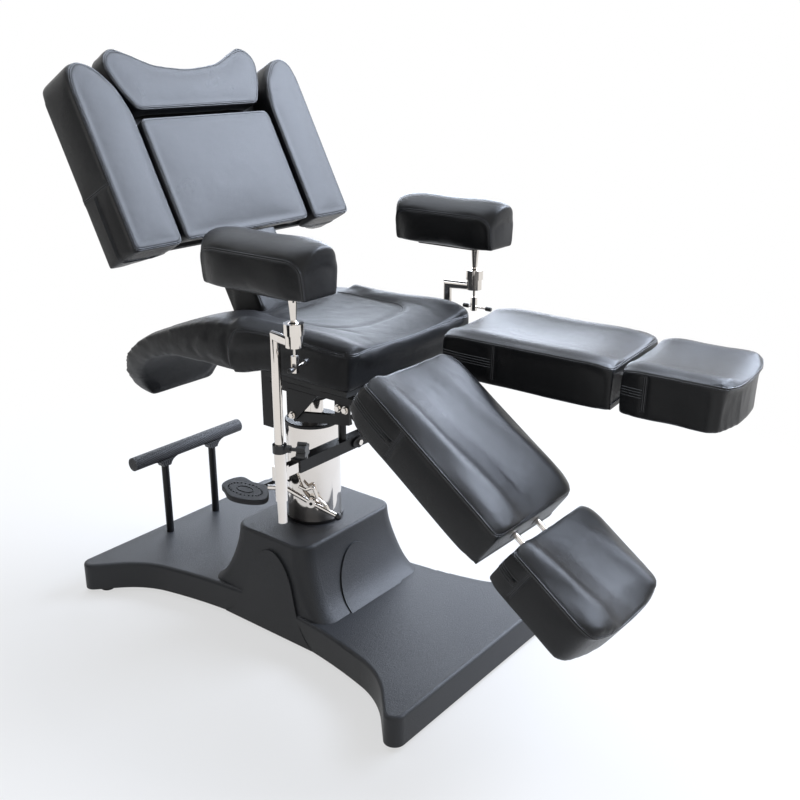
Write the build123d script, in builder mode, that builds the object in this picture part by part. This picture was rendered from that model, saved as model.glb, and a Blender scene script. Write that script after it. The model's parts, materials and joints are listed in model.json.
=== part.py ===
from build123d import *
import math
import os

os.makedirs("parts", exist_ok=True)

# A tattoo chair, in millimetres. The lift column is the Z axis, the floor is z = 0, and the
# chair faces -Y, so the sitter's left is +X.

# Fits and gaps that every piece shares
running = 0.05
face_gap = 0.3
soft_gap = 0.5
overrun = 5

# Base cover
base_centre_y = -5.7
base_half_length = 525.4
waist_half_width = 183
waist_radius = 1373
waist_half_run = 330
shoulder_radius = 224
end_heading = 47
end_corner_radius = 24
cover_bottom = 10
slab_top = 81.4
slab_edge_radius = 8
cover_wall = 6
pedestal_top = 248.6
pedestal_half_width = 165.4
pedestal_foot_half_width = 187
pedestal_half_depth = 117.3
pedestal_flare = 78.2
pedestal_corner_radius = 40
flare_height_shares = (0, 0.17, 0.35, 0.62, 0.89, 1)
flare_reach_shares = (1, 0.6, 0.37, 0.13, 0.01, 0)
panel_rise = 5
side_panel_y = -14
side_panel_half_width = 150
side_panel_top = 218
side_panel_width_shares = (1, 0.507, 0.347)
side_panel_height_shares = (0, 0.567, 0.827)
front_panel_half_width = 100
front_panel_top = 205
front_panel_width_shares = (1, 0.8, 0.6)
front_panel_height_shares = (0.2, 0.6, 0.79)

# Base plate and levelling feet
plate_thickness = 8
foot_disc_radius = 18
foot_disc_round = 1.5
foot_x = 296
foot_y = 482

# Pump housing, cap, collar ring and ram
sleeve_radius = 66
sleeve_top = 495
sleeve_floor = 95
sleeve_boss_radius = 50
sleeve_cap_thickness = 8
collar_width = 3.6
collar_height = 7.4
ram_radius = 28
ram_bottom = 160
ram_top = 590

# Rear foot rail
rail_post_x = 82.7
rail_y = 472.5
rail_post_radius = 10
rail_height = 313.8
rail_core_radius = 13
grip_radius = 18
grip_half_length = 185
grip_flare_height = 34
grip_flare_radius = 12
grip_flare_half_width = 36
grip_flare_root = 15
grip_flare_curve_shares = (0.27, 0.43)

# Pump pedal
pedal_pivot_x = 8
pedal_pivot_y = 110
pedal_pivot_z = 316
pedal_hub_radius = 11
pedal_pin_radius = 5
pedal_arm_width = 14
pedal_arm_thickness = 10
pedal_arm_reach = 158
pedal_ear = 12
pedal_bracket_depth = 36
pedal_bracket_height = 34
pedal_pad_centre_x = -137
pedal_pad_centre_y = 100
pedal_pad_length = 152
pedal_pad_width = 97
pedal_pad_thickness = 12
pedal_pad_edge_radius = 3
pedal_outline_x_shares = (-0.25, 0.01, 0.5, 0.455, 0.515, 0.34, -0.14, -0.465, -0.475)
pedal_outline_y_shares = (0.35, 0.49, 0.394, 0.087, -0.067, -0.304, -0.51, -0.234, 0.083)

# Release lever
lever_turn = 218.3
lever_offset = 78
lever_radius = 6
lever_bend = 20
lever_tip_u = 61.9
lever_tip_z = 275.7
lever_pivot_u = -1.8
lever_pivot_z = 312.2
lever_rise_u = -61.1
lever_rise_z = 351
lever_end_u = -103.3
lever_end_z = 352.7
lever_hub_radius = 11
lever_hub_length = 14
lever_pin_radius = 4
lever_ball_radius = 9.5
hook_radius = 4
hook_bend = 6
hook_u = (-29.2, -12.8, 5.3, 14.2, 34.1, 41)
hook_z = (355.5, 346.4, 353, 324.1, 304.4, 289)

# Swivel head
hub_radius = 42
hub_bottom = 557
head_plate_bottom = 596
head_plate_front = 105
head_plate_back = 45
head_plate_half_width = 94

# Seat frame
rail_outer_x = 100
rail_inner_x = 67
frame_rail_bottom = 608
frame_rail_top = 621
frame_rail_back = 4
frame_rail_front = -322
front_bar_depth = 40
riser_width = 22
riser_depth = 30
riser_places = (-262, -110)
gusset_thickness = 6
gusset_top = 607
gusset_foot = 535
gusset_back = -16
gusset_toe = -42
gusset_front = -111
hanger_back = -164
hanger_front = -206
hanger_bottom = 560
bar_thickness = 12
bar_height = 22
bar_back_y = -30
bar_back_z = 538
bar_front_y = -198
bar_front_z = 566.5
spacer_radius = 9
spacer_x = 84
bolt_head_radius = 7
bolt_head_height = 5
bolt_washer_radius = 9
bolt_washer_thickness = 1.5

# Cross tube that carries the arm bars
tube_side = 28
tube_wall = 3
tube_half_length = 234.6
tube_y = -171
tube_z = 500
lobe_x = -47
lobe_radius = 13
lobe_offset = 11
lobe_end_radius = 10
lobe_thickness = 5

# Stub tube under the rear of the seat
stub_x = -30
stub_width = 20
stub_depth = 33
stub_wall = 2.5
stub_bottom = 464

# Backrest hinge and its brackets
hinge_y = 149
hinge_z = 738
hinge_pin_radius = 8
bracket_thickness = 8
bracket_boss_radius = 20
bracket_side_gap = 1
bracket_arm_height = 23
bracket_arm_front = -60
bracket_elbow_y = 92
bracket_heel_y = 128
tie_depth = 33
tie_height = 19

# Seat cushion, board and tail
seat_half_width = 221.2
seat_front = -308.8
seat_back = 30
seat_bottom = 685
seat_rear_step = 24
seat_slope_front = -60
seat_seam_height = 89
seat_roll_rise = 15
seat_trough_dip = 8
seat_roll_width = 46
seat_edge_drop = 9
seat_front_draw = 10
seat_side_bulge = 4
board_thickness = 12
board_inset = 13
board_back = -62
tail_flap_y = 462.7
tail_flap_z = 483.7
tail_flap_half_width = 101.7
tail_back_y = 516.5
tail_top_rise = 1
tail_curl_y = 496
tail_hip_z = 729
tail_outer_run_shares = (0, 0.199, 0.446, 0.726, 0.931, 1)
tail_outer_fall_shares = (0, 0.031, 0.158, 0.36, 0.642, 0.889)
tail_lining_run_shares = (0.886, 0.823, 0.647, 0.432)
tail_lining_fall_shares = (0.875, 0.687, 0.491, 0.391)
tail_flank_half_width = 186
tail_flank_z = 600
tail_edge_radius = 14
tail_slot_back = 308

# Backrest
back_y = 168.8
back_z = 936.8
back_angle = 62.3
neck_half_width = 66
neck_depth = 105
neck_strap_length = 130
neck_turn = 50
back_board_depth = 72
back_board_thickness = 15
back_board_half_width = 300
back_board_low = 10
back_board_high = 392
back_board_head_half_width = 200
back_board_head_high = 436
bolster_inner = 223
bolster_outer = 341
bolster_shoulder_high = 385
bolster_top_x = 306
bolster_top = 429
bolster_waist_x = 236
bolster_waist_high = 368
bolster_waist_low = 302
bolster_depth = 117
bolster_edge_radius = 9
centre_half_width = 193
centre_low = 8
centre_high = 289
centre_corner_radius = 12
centre_face = 4
head_low_half_width = 184.5
head_low = 318
head_wide_half_width = 229
head_wide_high = 423
head_mid_half_width = 213
head_mid_high = 370
head_peak_half_width = 184
head_peak_high = 458
head_dip_high = 409
head_face = 12
back_edge_radius = 10

# Arm bars, blocks, collars and posts
post_x = 293.7
post_y = -184.8
post_radius = 10
post_bottom = 394.8
elbow_z = 803
block_radius = 12.5
block_bottom = 445
block_top = 553.7
lug_inner_x = 268
lug_half_height = 16
lug_half_depth = 12
arm_bar_inner_x = 110
arm_ring_radius = 15
arm_ring_height = 18
knob_turn = 64.7
knob_screw_radius = 4
knob_screw_length = 40
knob_boss_radius = 8
knob_boss_length = 24
knob_head_radius = 13
knob_head_length = 20
knob_lobe_radius = 5
knob_lobes = 6

# Ball cup and clamp screw
cup_x = 308.3
cup_y = -252.2
cup_radius = 20.4
cup_lower_radius = 17.5
cup_top = 844.6
cup_step_z = 821.8
cup_bottom = 796.8
ball_z = 834
ball_radius = 14
cup_mouth_radius = 11
cup_mouth_depth = 3.6
neck_low_radius = 5.5
neck_high_radius = 9.5
neck_top = 896
stem_radius = 5
stem_bottom = 868
clamp_rod_radius = 3
clamp_rod_top = 818.5
clamp_hex_top = 778.6
clamp_hex_bottom = 744.8
clamp_hex_radius = 8
tommy_z = 754
tommy_length = 78
tommy_radius = 2.5
tommy_end_radius = 4.5
tommy_end_length = 14
tommy_turns = (17, 90)
tommy_slides = (14, -10)

# Armrests
armrest_plate_width = 62
armrest_plate_length = 170
armrest_plate_corner = 10
armrest_bottom = 902
armrest_front = -326.3
armrest_back = -48.7
armrest_half_width = 56
armrest_draw = 6
armrest_seam = 979
armrest_crown = 1011
armrest_end_draw = 12
armrest_end_drop = 10
armrest_bulge = 3

# Leg rests: yoke, frame, pads and rods
spread_x = 60
spread_y = -300
spread_pin_radius = 8
spread_head_radius = 13
spread_head_height = 8
yoke_plate_thickness = 9
yoke_inner_x = 22
yoke_outer_x = 100
yoke_ear = 8
yoke_back_radius = 22
yoke_ear_radius = 9
leg_pivot_y = -353.7
leg_pivot_z = 677.4
leg_pin_radius = 5
leg_pitches = (35.1, 1.3)
leg_spreads = (1.2, 4.9)
leg_inner_x = 14.8
leg_width = 272
leg_back_s = 3
leg_length = 387.5
leg_under = 13.5
leg_edge = 92
leg_roll_top = 105.3
leg_trough = 97
leg_roll_width = 52
leg_end_draw = 7
leg_end_drop = 8
leg_side_bulge = 2.5
leg_board_thickness = 10
leg_board_inset = 9
leg_board_start = 18
leg_web_length = 46
leg_hub_radius = 9
rod_spacing = 76
rod_height = 45.3
rod_radius = 6
rod_insert = 180
guide_radius = 9
guide_length = 200
guide_post_width = 12
guide_post_places = (0.15, 0.9)
foot_starts = (420, 403)
foot_length = 224
foot_width = 260
foot_end_drop = 30
foot_end_corner = 34
foot_end_trim = 2
foot_plate_depth = 24
foot_plate_thickness = 6
foot_board_length = 170

# Shares that shape every cushion along its length, and how far each end draws in
pad_place_shares = (0, 0.07, 0.5, 0.93, 1)
pad_end_shares = (1, 0.25, 0, 0.25, 1)

# Sides of the chair: the sitter's right is -X
sides = ((-1, "right"), (1, "left"))


def across(base, place):
    """The plane that crosses a base plane's Y axis at one place, with its own Y along the base normal."""
    return Plane(
        origin=base.from_local_coords((0, place, 0)),
        x_dir=base.x_dir,
        z_dir=-base.y_dir,
    )


def keep(piece, label):
    """Labels a finished piece and writes it as one STEP file."""
    piece.part.label = label
    export_step(piece.part, f"parts/{label}.step")


def foot_plan(height, inset):
    """The base outline at one height: narrow waist, swept ends, straight end lines."""
    waist_turn = math.degrees(math.asin(waist_half_run / waist_radius))
    with BuildSketch(Plane(origin=(0, base_centre_y, height))) as plan:
        with BuildLine():
            waist = CenterArc((waist_half_width + waist_radius, 0), waist_radius, 180, -waist_turn)
            shoulder = JernArc(waist @ 1, waist % 1, shoulder_radius, waist_turn - end_heading)
            rest = base_half_length - (shoulder @ 1).Y
            tip_x = (shoulder @ 1).X + rest * math.tan(math.radians(end_heading))
            Line(shoulder @ 1, (tip_x, base_half_length))
            Line((tip_x, base_half_length), (0, base_half_length))
            mirror(about=Plane.XZ)
            mirror(about=Plane.YZ)
        make_face()
        ends = plan.vertices().group_by(Axis.Y)
        fillet((ends[0] + ends[-1]).filter_by(lambda end: abs(end.X) > waist_half_width), end_corner_radius)
        if inset:
            offset(amount=-inset)
    return plan.sketch


def pedestal_rows(grow_x, grow_y, top):
    """Rounded rectangles up the pedestal, drawn in at the sides and flared at front and back."""
    rows = []
    heights = [cover_bottom] + [slab_top + share * (top - slab_top) for share in flare_height_shares]
    reaches = flare_reach_shares[:1] + flare_reach_shares
    for height, reach in zip(heights, reaches):
        rise = (height - cover_bottom) / (pedestal_top - cover_bottom)
        half_x = pedestal_foot_half_width + rise * (pedestal_half_width - pedestal_foot_half_width) + grow_x
        half_y = pedestal_half_depth + reach * pedestal_flare + grow_y
        with BuildSketch(Plane.XY.offset(height)) as row:
            RectangleRounded(2 * half_x, 2 * half_y, pedestal_corner_radius)
        rows.append(row.sketch)
    return rows


# Base cover
slab_room = slab_top - cover_bottom - cover_wall
with BuildPart() as slab:
    extrude(foot_plan(cover_bottom, 0), amount=slab_top - cover_bottom)
    fillet(slab.edges().group_by(Axis.Z)[-1], slab_edge_radius)
    extrude(foot_plan(cover_bottom, cover_wall), amount=slab_room, mode=Mode.SUBTRACT)

with BuildPart() as side_panels:
    loft(sections=pedestal_rows(panel_rise, 0, pedestal_top))
    with BuildSketch(Plane.YZ) as side_arch:
        with BuildLine():
            rise = side_panel_top - cover_bottom
            flank = [
                (side_panel_half_width * width, cover_bottom + rise * height)
                for width, height in zip(side_panel_width_shares, side_panel_height_shares)
            ]
            near_flank = [(side_panel_y - across_y, z) for across_y, z in flank]
            far_flank = [(side_panel_y + across_y, z) for across_y, z in reversed(flank)]
            bell = Spline(*near_flank, (side_panel_y, side_panel_top), *far_flank)
            Line(bell @ 1, bell @ 0)
        make_face()
    extrude(amount=2 * pedestal_foot_half_width, both=True, mode=Mode.INTERSECT)

with BuildPart() as front_panels:
    loft(sections=pedestal_rows(0, panel_rise, pedestal_top))
    with BuildSketch(Plane.XZ) as front_arch:
        with BuildLine():
            flank = [
                (front_panel_half_width * width, cover_bottom + (front_panel_top - cover_bottom) * height)
                for width, height in zip(front_panel_width_shares, front_panel_height_shares)
            ]
            near_flank = [(-across_x, z) for across_x, z in flank]
            arch = Spline(*near_flank, (0, front_panel_top), *reversed(flank))
            Line(arch @ 1, arch @ 0)
        make_face()
    extrude(amount=base_half_length, both=True, mode=Mode.INTERSECT)

with BuildPart() as base_cover:
    loft(sections=pedestal_rows(0, 0, pedestal_top))
    fillet(base_cover.edges().group_by(Axis.Z)[-1], slab_edge_radius)
    add(slab.part)
    add(side_panels.part)
    add(front_panels.part)
    loft(sections=pedestal_rows(-cover_wall, -cover_wall, pedestal_top - cover_wall), mode=Mode.SUBTRACT)
    extrude(foot_plan(cover_bottom, cover_wall), amount=slab_room, mode=Mode.SUBTRACT)
    with BuildSketch(Plane.XY.offset(pedestal_top + overrun)):
        Circle(sleeve_radius + running)
    extrude(amount=-(cover_wall + 2 * overrun), mode=Mode.SUBTRACT)
keep(base_cover, "base_cover")

# Base plate, and a levelling foot near each corner of it
plate_top = cover_bottom + plate_thickness
with BuildPart() as base_plate:
    extrude(foot_plan(cover_bottom, cover_wall + face_gap), amount=plate_thickness)
    with Locations((0, 0, plate_top)):
        Hole(sleeve_boss_radius + running)
keep(base_plate, "base_plate")

with BuildPart() as levelling_feet:
    with BuildSketch(Plane(origin=(0, base_centre_y, 0))):
        with GridLocations(2 * foot_x, 2 * foot_y, 2, 2):
            Circle(foot_disc_radius)
    extrude(amount=cover_bottom)
    fillet(levelling_feet.edges().group_by(Axis.Z)[0], foot_disc_round)
keep(levelling_feet, "levelling_feet")

# Pump housing: a boss through the base plate down to the floor, and the chrome sleeve above
with BuildPart() as pump_sleeve:
    with BuildSketch(Plane.XY):
        Circle(sleeve_boss_radius)
    extrude(amount=plate_top)
    with BuildSketch(Plane.XY.offset(plate_top)):
        Circle(sleeve_radius)
    extrude(amount=sleeve_top - plate_top)
    with BuildSketch(Plane.XY.offset(sleeve_top)):
        Circle(ram_radius + running)
    extrude(amount=sleeve_floor - sleeve_top, mode=Mode.SUBTRACT)
keep(pump_sleeve, "pump_sleeve")

with BuildPart() as sleeve_cap:
    with BuildSketch(Plane.XY.offset(sleeve_top)):
        Circle(sleeve_radius)
        Circle(ram_radius + running, mode=Mode.SUBTRACT)
    extrude(amount=sleeve_cap_thickness)
    fillet(sleeve_cap.edges().group_by(Axis.Z)[-1].sort_by(Edge.length)[-1], sleeve_cap_thickness / 4)
keep(sleeve_cap, "sleeve_cap")

with BuildPart() as pedestal_collar:
    with BuildSketch(Plane.XY.offset(pedestal_top)):
        Circle(sleeve_radius + collar_width)
        Circle(sleeve_radius + running, mode=Mode.SUBTRACT)
    extrude(amount=collar_height)
keep(pedestal_collar, "pedestal_collar")

with BuildPart() as pump_ram:
    with BuildSketch(Plane.XY.offset(ram_bottom)):
        Circle(ram_radius)
    extrude(amount=ram_top - ram_bottom)
    chamfer(pump_ram.edges().group_by(Axis.Z)[0], ram_radius / 14)
keep(pump_ram, "pump_ram")

# Rear foot rail
with BuildPart() as footrest_frame:
    with BuildSketch(Plane(origin=(0, rail_y, slab_top))):
        with Locations((-rail_post_x, 0), (rail_post_x, 0)):
            Circle(rail_post_radius)
    extrude(amount=rail_height - slab_top)
    with BuildSketch(Plane(origin=(0, rail_y, rail_height), x_dir=(0, 1, 0), z_dir=(1, 0, 0))):
        Circle(rail_core_radius)
    extrude(amount=grip_half_length - rail_post_radius, both=True)
keep(footrest_frame, "footrest_frame")



def flare_profile(middle):
    """The web under the grip: wide at the bar and drawn in by two arcs to the post."""
    with BuildSketch() as profile:
        with BuildLine():
            Line((-grip_flare_half_width, -grip_flare_root), (grip_flare_half_width, -grip_flare_root))
            ThreePointArc(
                (grip_flare_half_width, -grip_flare_root), middle, (grip_flare_radius, -grip_flare_height)
            )
            Line((grip_flare_radius, -grip_flare_height), (-grip_flare_radius, -grip_flare_height))
            ThreePointArc(
                (-grip_flare_radius, -grip_flare_height),
                (-middle[0], middle[1]),
                (-grip_flare_half_width, -grip_flare_root),
            )
        make_face()
    return profile.sketch


with BuildPart() as footrest_grip:
    with BuildSketch(Plane(origin=(0, rail_y, rail_height), x_dir=(0, 1, 0), z_dir=(1, 0, 0))):
        Circle(grip_radius)
    extrude(amount=grip_half_length, both=True)
    flare_middle = (
        grip_flare_radius + grip_flare_curve_shares[0] * (grip_flare_half_width - grip_flare_radius),
        -grip_flare_root - grip_flare_curve_shares[1] * (grip_flare_height - grip_flare_root),
    )
    with BuildSketch(Plane(origin=(0, rail_y, rail_height), x_dir=(1, 0, 0), z_dir=(0, -1, 0))):
        with Locations((-rail_post_x, 0), (rail_post_x, 0)):
            add(flare_profile(flare_middle))
    extrude(amount=grip_flare_radius, both=True)
    with BuildSketch(Plane(origin=(0, rail_y, rail_height), x_dir=(0, 1, 0), z_dir=(1, 0, 0))):
        Circle(rail_core_radius)
    extrude(amount=grip_half_length - rail_post_radius, both=True, mode=Mode.SUBTRACT)
    with BuildSketch(Plane(origin=(0, rail_y, rail_height))):
        with Locations((-rail_post_x, 0), (rail_post_x, 0)):
            Circle(rail_post_radius)
    extrude(amount=-(grip_flare_height + overrun), mode=Mode.SUBTRACT)
keep(footrest_grip, "footrest_grip")

# Pivot brackets on the pump: a forked one for the pedal, a boss for the lever, each with its pin
lever_out = (math.cos(math.radians(lever_turn)), math.sin(math.radians(lever_turn)))
lever_plane = Plane(
    origin=(lever_offset * lever_out[0], lever_offset * lever_out[1], 0),
    x_dir=(-lever_out[1], lever_out[0], 0),
    z_dir=(lever_out[0], lever_out[1], 0),
)
lever_inner_face = lever_hub_length / 2 + face_gap
pedal_slot = pedal_arm_width + 2 * face_gap
pedal_fork_width = pedal_slot + 2 * pedal_ear
fork_back = pedal_pivot_y + pedal_fork_width / 2
pedal_plane = Plane(origin=(pedal_pivot_x, pedal_pivot_y, pedal_pivot_z), x_dir=(1, 0, 0), z_dir=(0, -1, 0))
with BuildPart() as pivot_brackets:
    with BuildSketch(Plane.XY.offset(pedal_pivot_z - pedal_bracket_height / 2)):
        with Locations((pedal_pivot_x + pedal_bracket_depth / 4, fork_back / 2)):
            Rectangle(pedal_bracket_depth, fork_back)
    extrude(amount=pedal_bracket_height)
    slot_x = pedal_pivot_x + pedal_hub_radius + face_gap - pedal_bracket_depth / 2
    with BuildSketch(Plane.XY.offset(pedal_pivot_z - pedal_bracket_height / 2)):
        with Locations((slot_x, pedal_pivot_y)):
            Rectangle(pedal_bracket_depth, pedal_slot)
    extrude(amount=pedal_bracket_height, mode=Mode.SUBTRACT)
    with BuildSketch(lever_plane.offset(-lever_inner_face)):
        with Locations((lever_pivot_u, lever_pivot_z)):
            Circle(lever_hub_radius)
    extrude(amount=-(lever_offset - lever_inner_face))
    with BuildSketch(lever_plane.offset(-lever_inner_face)):
        with Locations((lever_pivot_u, lever_pivot_z)):
            Circle(lever_pin_radius)
    extrude(amount=2 * lever_inner_face + face_gap)
    with BuildSketch(Plane.XY.offset(pedal_pivot_z - 2 * pedal_bracket_height)):
        Circle(sleeve_radius)
    extrude(amount=4 * pedal_bracket_height, mode=Mode.SUBTRACT)
    with BuildSketch(pedal_plane):
        Circle(pedal_pin_radius)
    extrude(amount=pedal_fork_width / 2, both=True)
keep(pivot_brackets, "pivot_brackets")

# Pump pedal
with BuildPart() as pedal_arm:
    with BuildSketch(pedal_plane):
        Circle(pedal_hub_radius)
        with Locations((-pedal_arm_reach / 2, 0)):
            Rectangle(pedal_arm_reach, pedal_arm_thickness)
        Circle(pedal_pin_radius + running, mode=Mode.SUBTRACT)
    extrude(amount=pedal_arm_width / 2, both=True)
keep(pedal_arm, "pedal_arm")

pedal_pad_bottom = pedal_pivot_z + pedal_arm_thickness / 2
with BuildPart() as pedal_pad:
    with BuildSketch(Plane(origin=(pedal_pad_centre_x, pedal_pad_centre_y, pedal_pad_bottom))):
        with BuildLine():
            Spline(
                *[
                    (pedal_pad_width * x_share, pedal_pad_length * y_share)
                    for x_share, y_share in zip(pedal_outline_x_shares, pedal_outline_y_shares)
                ],
                periodic=True,
            )
        make_face()
    extrude(amount=pedal_pad_thickness)
    fillet(pedal_pad.edges().group_by(Axis.Z)[-1], pedal_pad_edge_radius)
keep(pedal_pad, "pedal_pad")

# Release lever: a bent rod on its pivot, with the short hooked rod welded to it, and a ball tip
with BuildPart() as foot_lever:
    with BuildLine(lever_plane) as lever_route:
        FilletPolyline(
            (lever_tip_u, lever_tip_z),
            (lever_pivot_u, lever_pivot_z),
            (lever_rise_u, lever_rise_z),
            (lever_end_u, lever_end_z),
            radius=lever_bend,
        )
    with BuildSketch(Plane(origin=lever_route.line @ 0, z_dir=lever_route.line % 0)):
        Circle(lever_radius)
    sweep(path=lever_route.line)
    with BuildLine(lever_plane) as hook_route:
        FilletPolyline(*zip(hook_u, hook_z), radius=hook_bend)
    with BuildSketch(Plane(origin=hook_route.line @ 0, z_dir=hook_route.line % 0)):
        Circle(hook_radius)
    sweep(path=hook_route.line)
    with BuildSketch(lever_plane.offset(-lever_hub_length / 2)):
        with Locations((lever_pivot_u, lever_pivot_z)):
            Circle(lever_hub_radius)
    extrude(amount=lever_hub_length)
    with BuildSketch(lever_plane.offset(-lever_hub_length / 2)):
        with Locations((lever_pivot_u, lever_pivot_z)):
            Circle(lever_pin_radius + running)
    extrude(amount=lever_hub_length, mode=Mode.SUBTRACT)
keep(foot_lever, "foot_lever")

with BuildPart() as lever_tip:
    with Locations(lever_plane.from_local_coords((lever_tip_u, lever_tip_z, 0))):
        Sphere(lever_ball_radius)
    with BuildSketch(Plane(origin=lever_route.line @ 0, z_dir=lever_route.line % 0)):
        Circle(lever_radius)
    extrude(amount=2 * lever_ball_radius, mode=Mode.SUBTRACT)
keep(lever_tip, "lever_tip")

# Swivel head: a hub over the ram and a plate under the frame rails
with BuildPart() as swivel_head:
    with BuildSketch(Plane.XY.offset(hub_bottom)):
        Circle(hub_radius)
    extrude(amount=head_plate_bottom - hub_bottom)
    with BuildSketch(Plane(origin=(0, (head_plate_back - head_plate_front) / 2, head_plate_bottom))):
        Rectangle(2 * head_plate_half_width, head_plate_back + head_plate_front)
    extrude(amount=frame_rail_bottom - head_plate_bottom)
    with BuildSketch(Plane.XY.offset(hub_bottom)):
        Circle(ram_radius + running)
    extrude(amount=ram_top + face_gap - hub_bottom, mode=Mode.SUBTRACT)
keep(swivel_head, "swivel_head")

# Frame rails, front crossbar with the two yoke holes, and risers up to the seat board
board_bottom = seat_bottom - board_thickness
seat_rear_bottom = seat_bottom - seat_rear_step
seat_seam = seat_bottom + seat_seam_height
seat_roll_top = seat_seam + seat_roll_rise
seat_trough = seat_seam - seat_trough_dip
tail_top = seat_seam + tail_top_rise
rail_width = rail_outer_x - rail_inner_x
with BuildPart() as seat_rails:
    with BuildSketch(Plane.XY.offset(frame_rail_bottom)):
        with Locations((0, (frame_rail_front + frame_rail_back) / 2)):
            with GridLocations(rail_outer_x + rail_inner_x, 0, 2, 1):
                Rectangle(rail_width, frame_rail_back - frame_rail_front)
        with Locations((0, frame_rail_front + front_bar_depth / 2)):
            Rectangle(2 * rail_outer_x, front_bar_depth)
        with Locations((-spread_x, spread_y), (spread_x, spread_y)):
            Circle(spread_pin_radius + running, mode=Mode.SUBTRACT)
    extrude(amount=frame_rail_top - frame_rail_bottom)
    with BuildSketch(Plane.XY.offset(frame_rail_top)):
        for place in riser_places:
            with Locations((0, place)):
                with GridLocations(2 * rail_outer_x - riser_width, 0, 2, 1):
                    Rectangle(riser_width, riser_depth)
    extrude(amount=board_bottom - frame_rail_top)
keep(seat_rails, "seat_rails")

# Gusset plates behind and hanger plates in front, outside the head plate
with BuildPart() as frame_plates:
    for side, name in sides:
        inner = Plane.YZ.offset(side * head_plate_half_width)
        with BuildSketch(inner):
            with BuildLine():
                Polyline(
                    (gusset_back, gusset_top),
                    (gusset_back, gusset_foot),
                    (gusset_toe, gusset_foot),
                    (gusset_front, gusset_top),
                    close=True,
                )
            make_face()
            with Locations(((hanger_back + hanger_front) / 2, (hanger_bottom + frame_rail_bottom) / 2)):
                Rectangle(hanger_back - hanger_front, frame_rail_bottom - hanger_bottom)
        extrude(amount=side * gusset_thickness)
keep(frame_plates, "frame_plates")

# Support bars under the seat, with welded spacers down to the cross tube
bar_length = math.hypot(bar_front_y - bar_back_y, bar_front_z - bar_back_z)
bar_slope = math.degrees(math.atan2(bar_front_z - bar_back_z, bar_front_y - bar_back_y))
bar_middle = ((bar_back_y + bar_front_y) / 2, (bar_back_z + bar_front_z) / 2)
tube_top = tube_z + tube_side / 2
with BuildPart() as support_bars:
    with BuildSketch(Plane.XY.offset(tube_top)):
        with Locations((-spacer_x, tube_y), (spacer_x, tube_y)):
            Circle(spacer_radius)
    extrude(amount=bar_front_z - tube_top - bar_height / 2)
    for side, name in sides:
        with BuildSketch(Plane.YZ.offset(side * (head_plate_half_width - bar_thickness))):
            with Locations(bar_middle):
                Rectangle(bar_length, bar_height, rotation=bar_slope)
        extrude(amount=side * bar_thickness)
keep(support_bars, "support_bars")

# Cross tube, with the lobed plate welded to its front
lobe_plane = Plane(origin=(lobe_x, tube_y - tube_side / 2, tube_z), x_dir=(1, 0, 0), z_dir=(0, -1, 0))
with BuildPart() as cross_tube:
    with BuildSketch(Plane(origin=(0, tube_y, tube_z), x_dir=(0, 1, 0), z_dir=(1, 0, 0))):
        Rectangle(tube_side, tube_side)
        Rectangle(tube_side - 2 * tube_wall, tube_side - 2 * tube_wall, mode=Mode.SUBTRACT)
    extrude(amount=tube_half_length, both=True)
    with BuildSketch(lobe_plane):
        Circle(lobe_radius)
        with Locations((-lobe_offset, 0), (lobe_offset, 0)):
            Circle(lobe_end_radius)
    extrude(amount=lobe_thickness)
keep(cross_tube, "cross_tube")

# Recline brackets: an arm on each rail up to the hinge boss, and a tie bar between them
bracket_inner = neck_half_width + bracket_side_gap
bracket_outer = bracket_inner + bracket_thickness
with BuildPart() as recline_brackets:
    for side, name in sides:
        with BuildSketch(Plane.YZ.offset(side * bracket_inner)):
            with BuildLine():
                Polyline(
                    (bracket_arm_front, frame_rail_top),
                    (bracket_arm_front, frame_rail_top + bracket_arm_height),
                    (bracket_elbow_y, frame_rail_top + bracket_arm_height),
                    (hinge_y - bracket_boss_radius, hinge_z),
                    (hinge_y + bracket_boss_radius, hinge_z),
                    (bracket_heel_y, frame_rail_top),
                    close=True,
                )
            make_face()
            with Locations((hinge_y, hinge_z)):
                Circle(bracket_boss_radius)
                Circle(hinge_pin_radius + running, mode=Mode.SUBTRACT)
        extrude(amount=side * bracket_thickness)
    with BuildSketch(Plane(origin=(0, bracket_heel_y - tie_depth / 2, frame_rail_top))):
        Rectangle(2 * bracket_inner, tie_depth)
    extrude(amount=tie_height)
keep(recline_brackets, "recline_brackets")

with BuildPart() as backrest_pin:
    with BuildSketch(Plane.YZ.offset(-bracket_outer)):
        with Locations((hinge_y, hinge_z)):
            Circle(hinge_pin_radius)
    extrude(amount=2 * bracket_outer)
keep(backrest_pin, "backrest_pin")

with BuildPart() as rear_stub_tube:
    with BuildSketch(Plane(origin=(stub_x, bracket_heel_y - tie_depth / 2, stub_bottom))):
        Rectangle(stub_width, stub_depth)
        Rectangle(stub_width - 2 * stub_wall, stub_depth - 2 * stub_wall, mode=Mode.SUBTRACT)
    extrude(amount=frame_rail_top - stub_bottom)
keep(rear_stub_tube, "rear_stub_tube")

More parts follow.
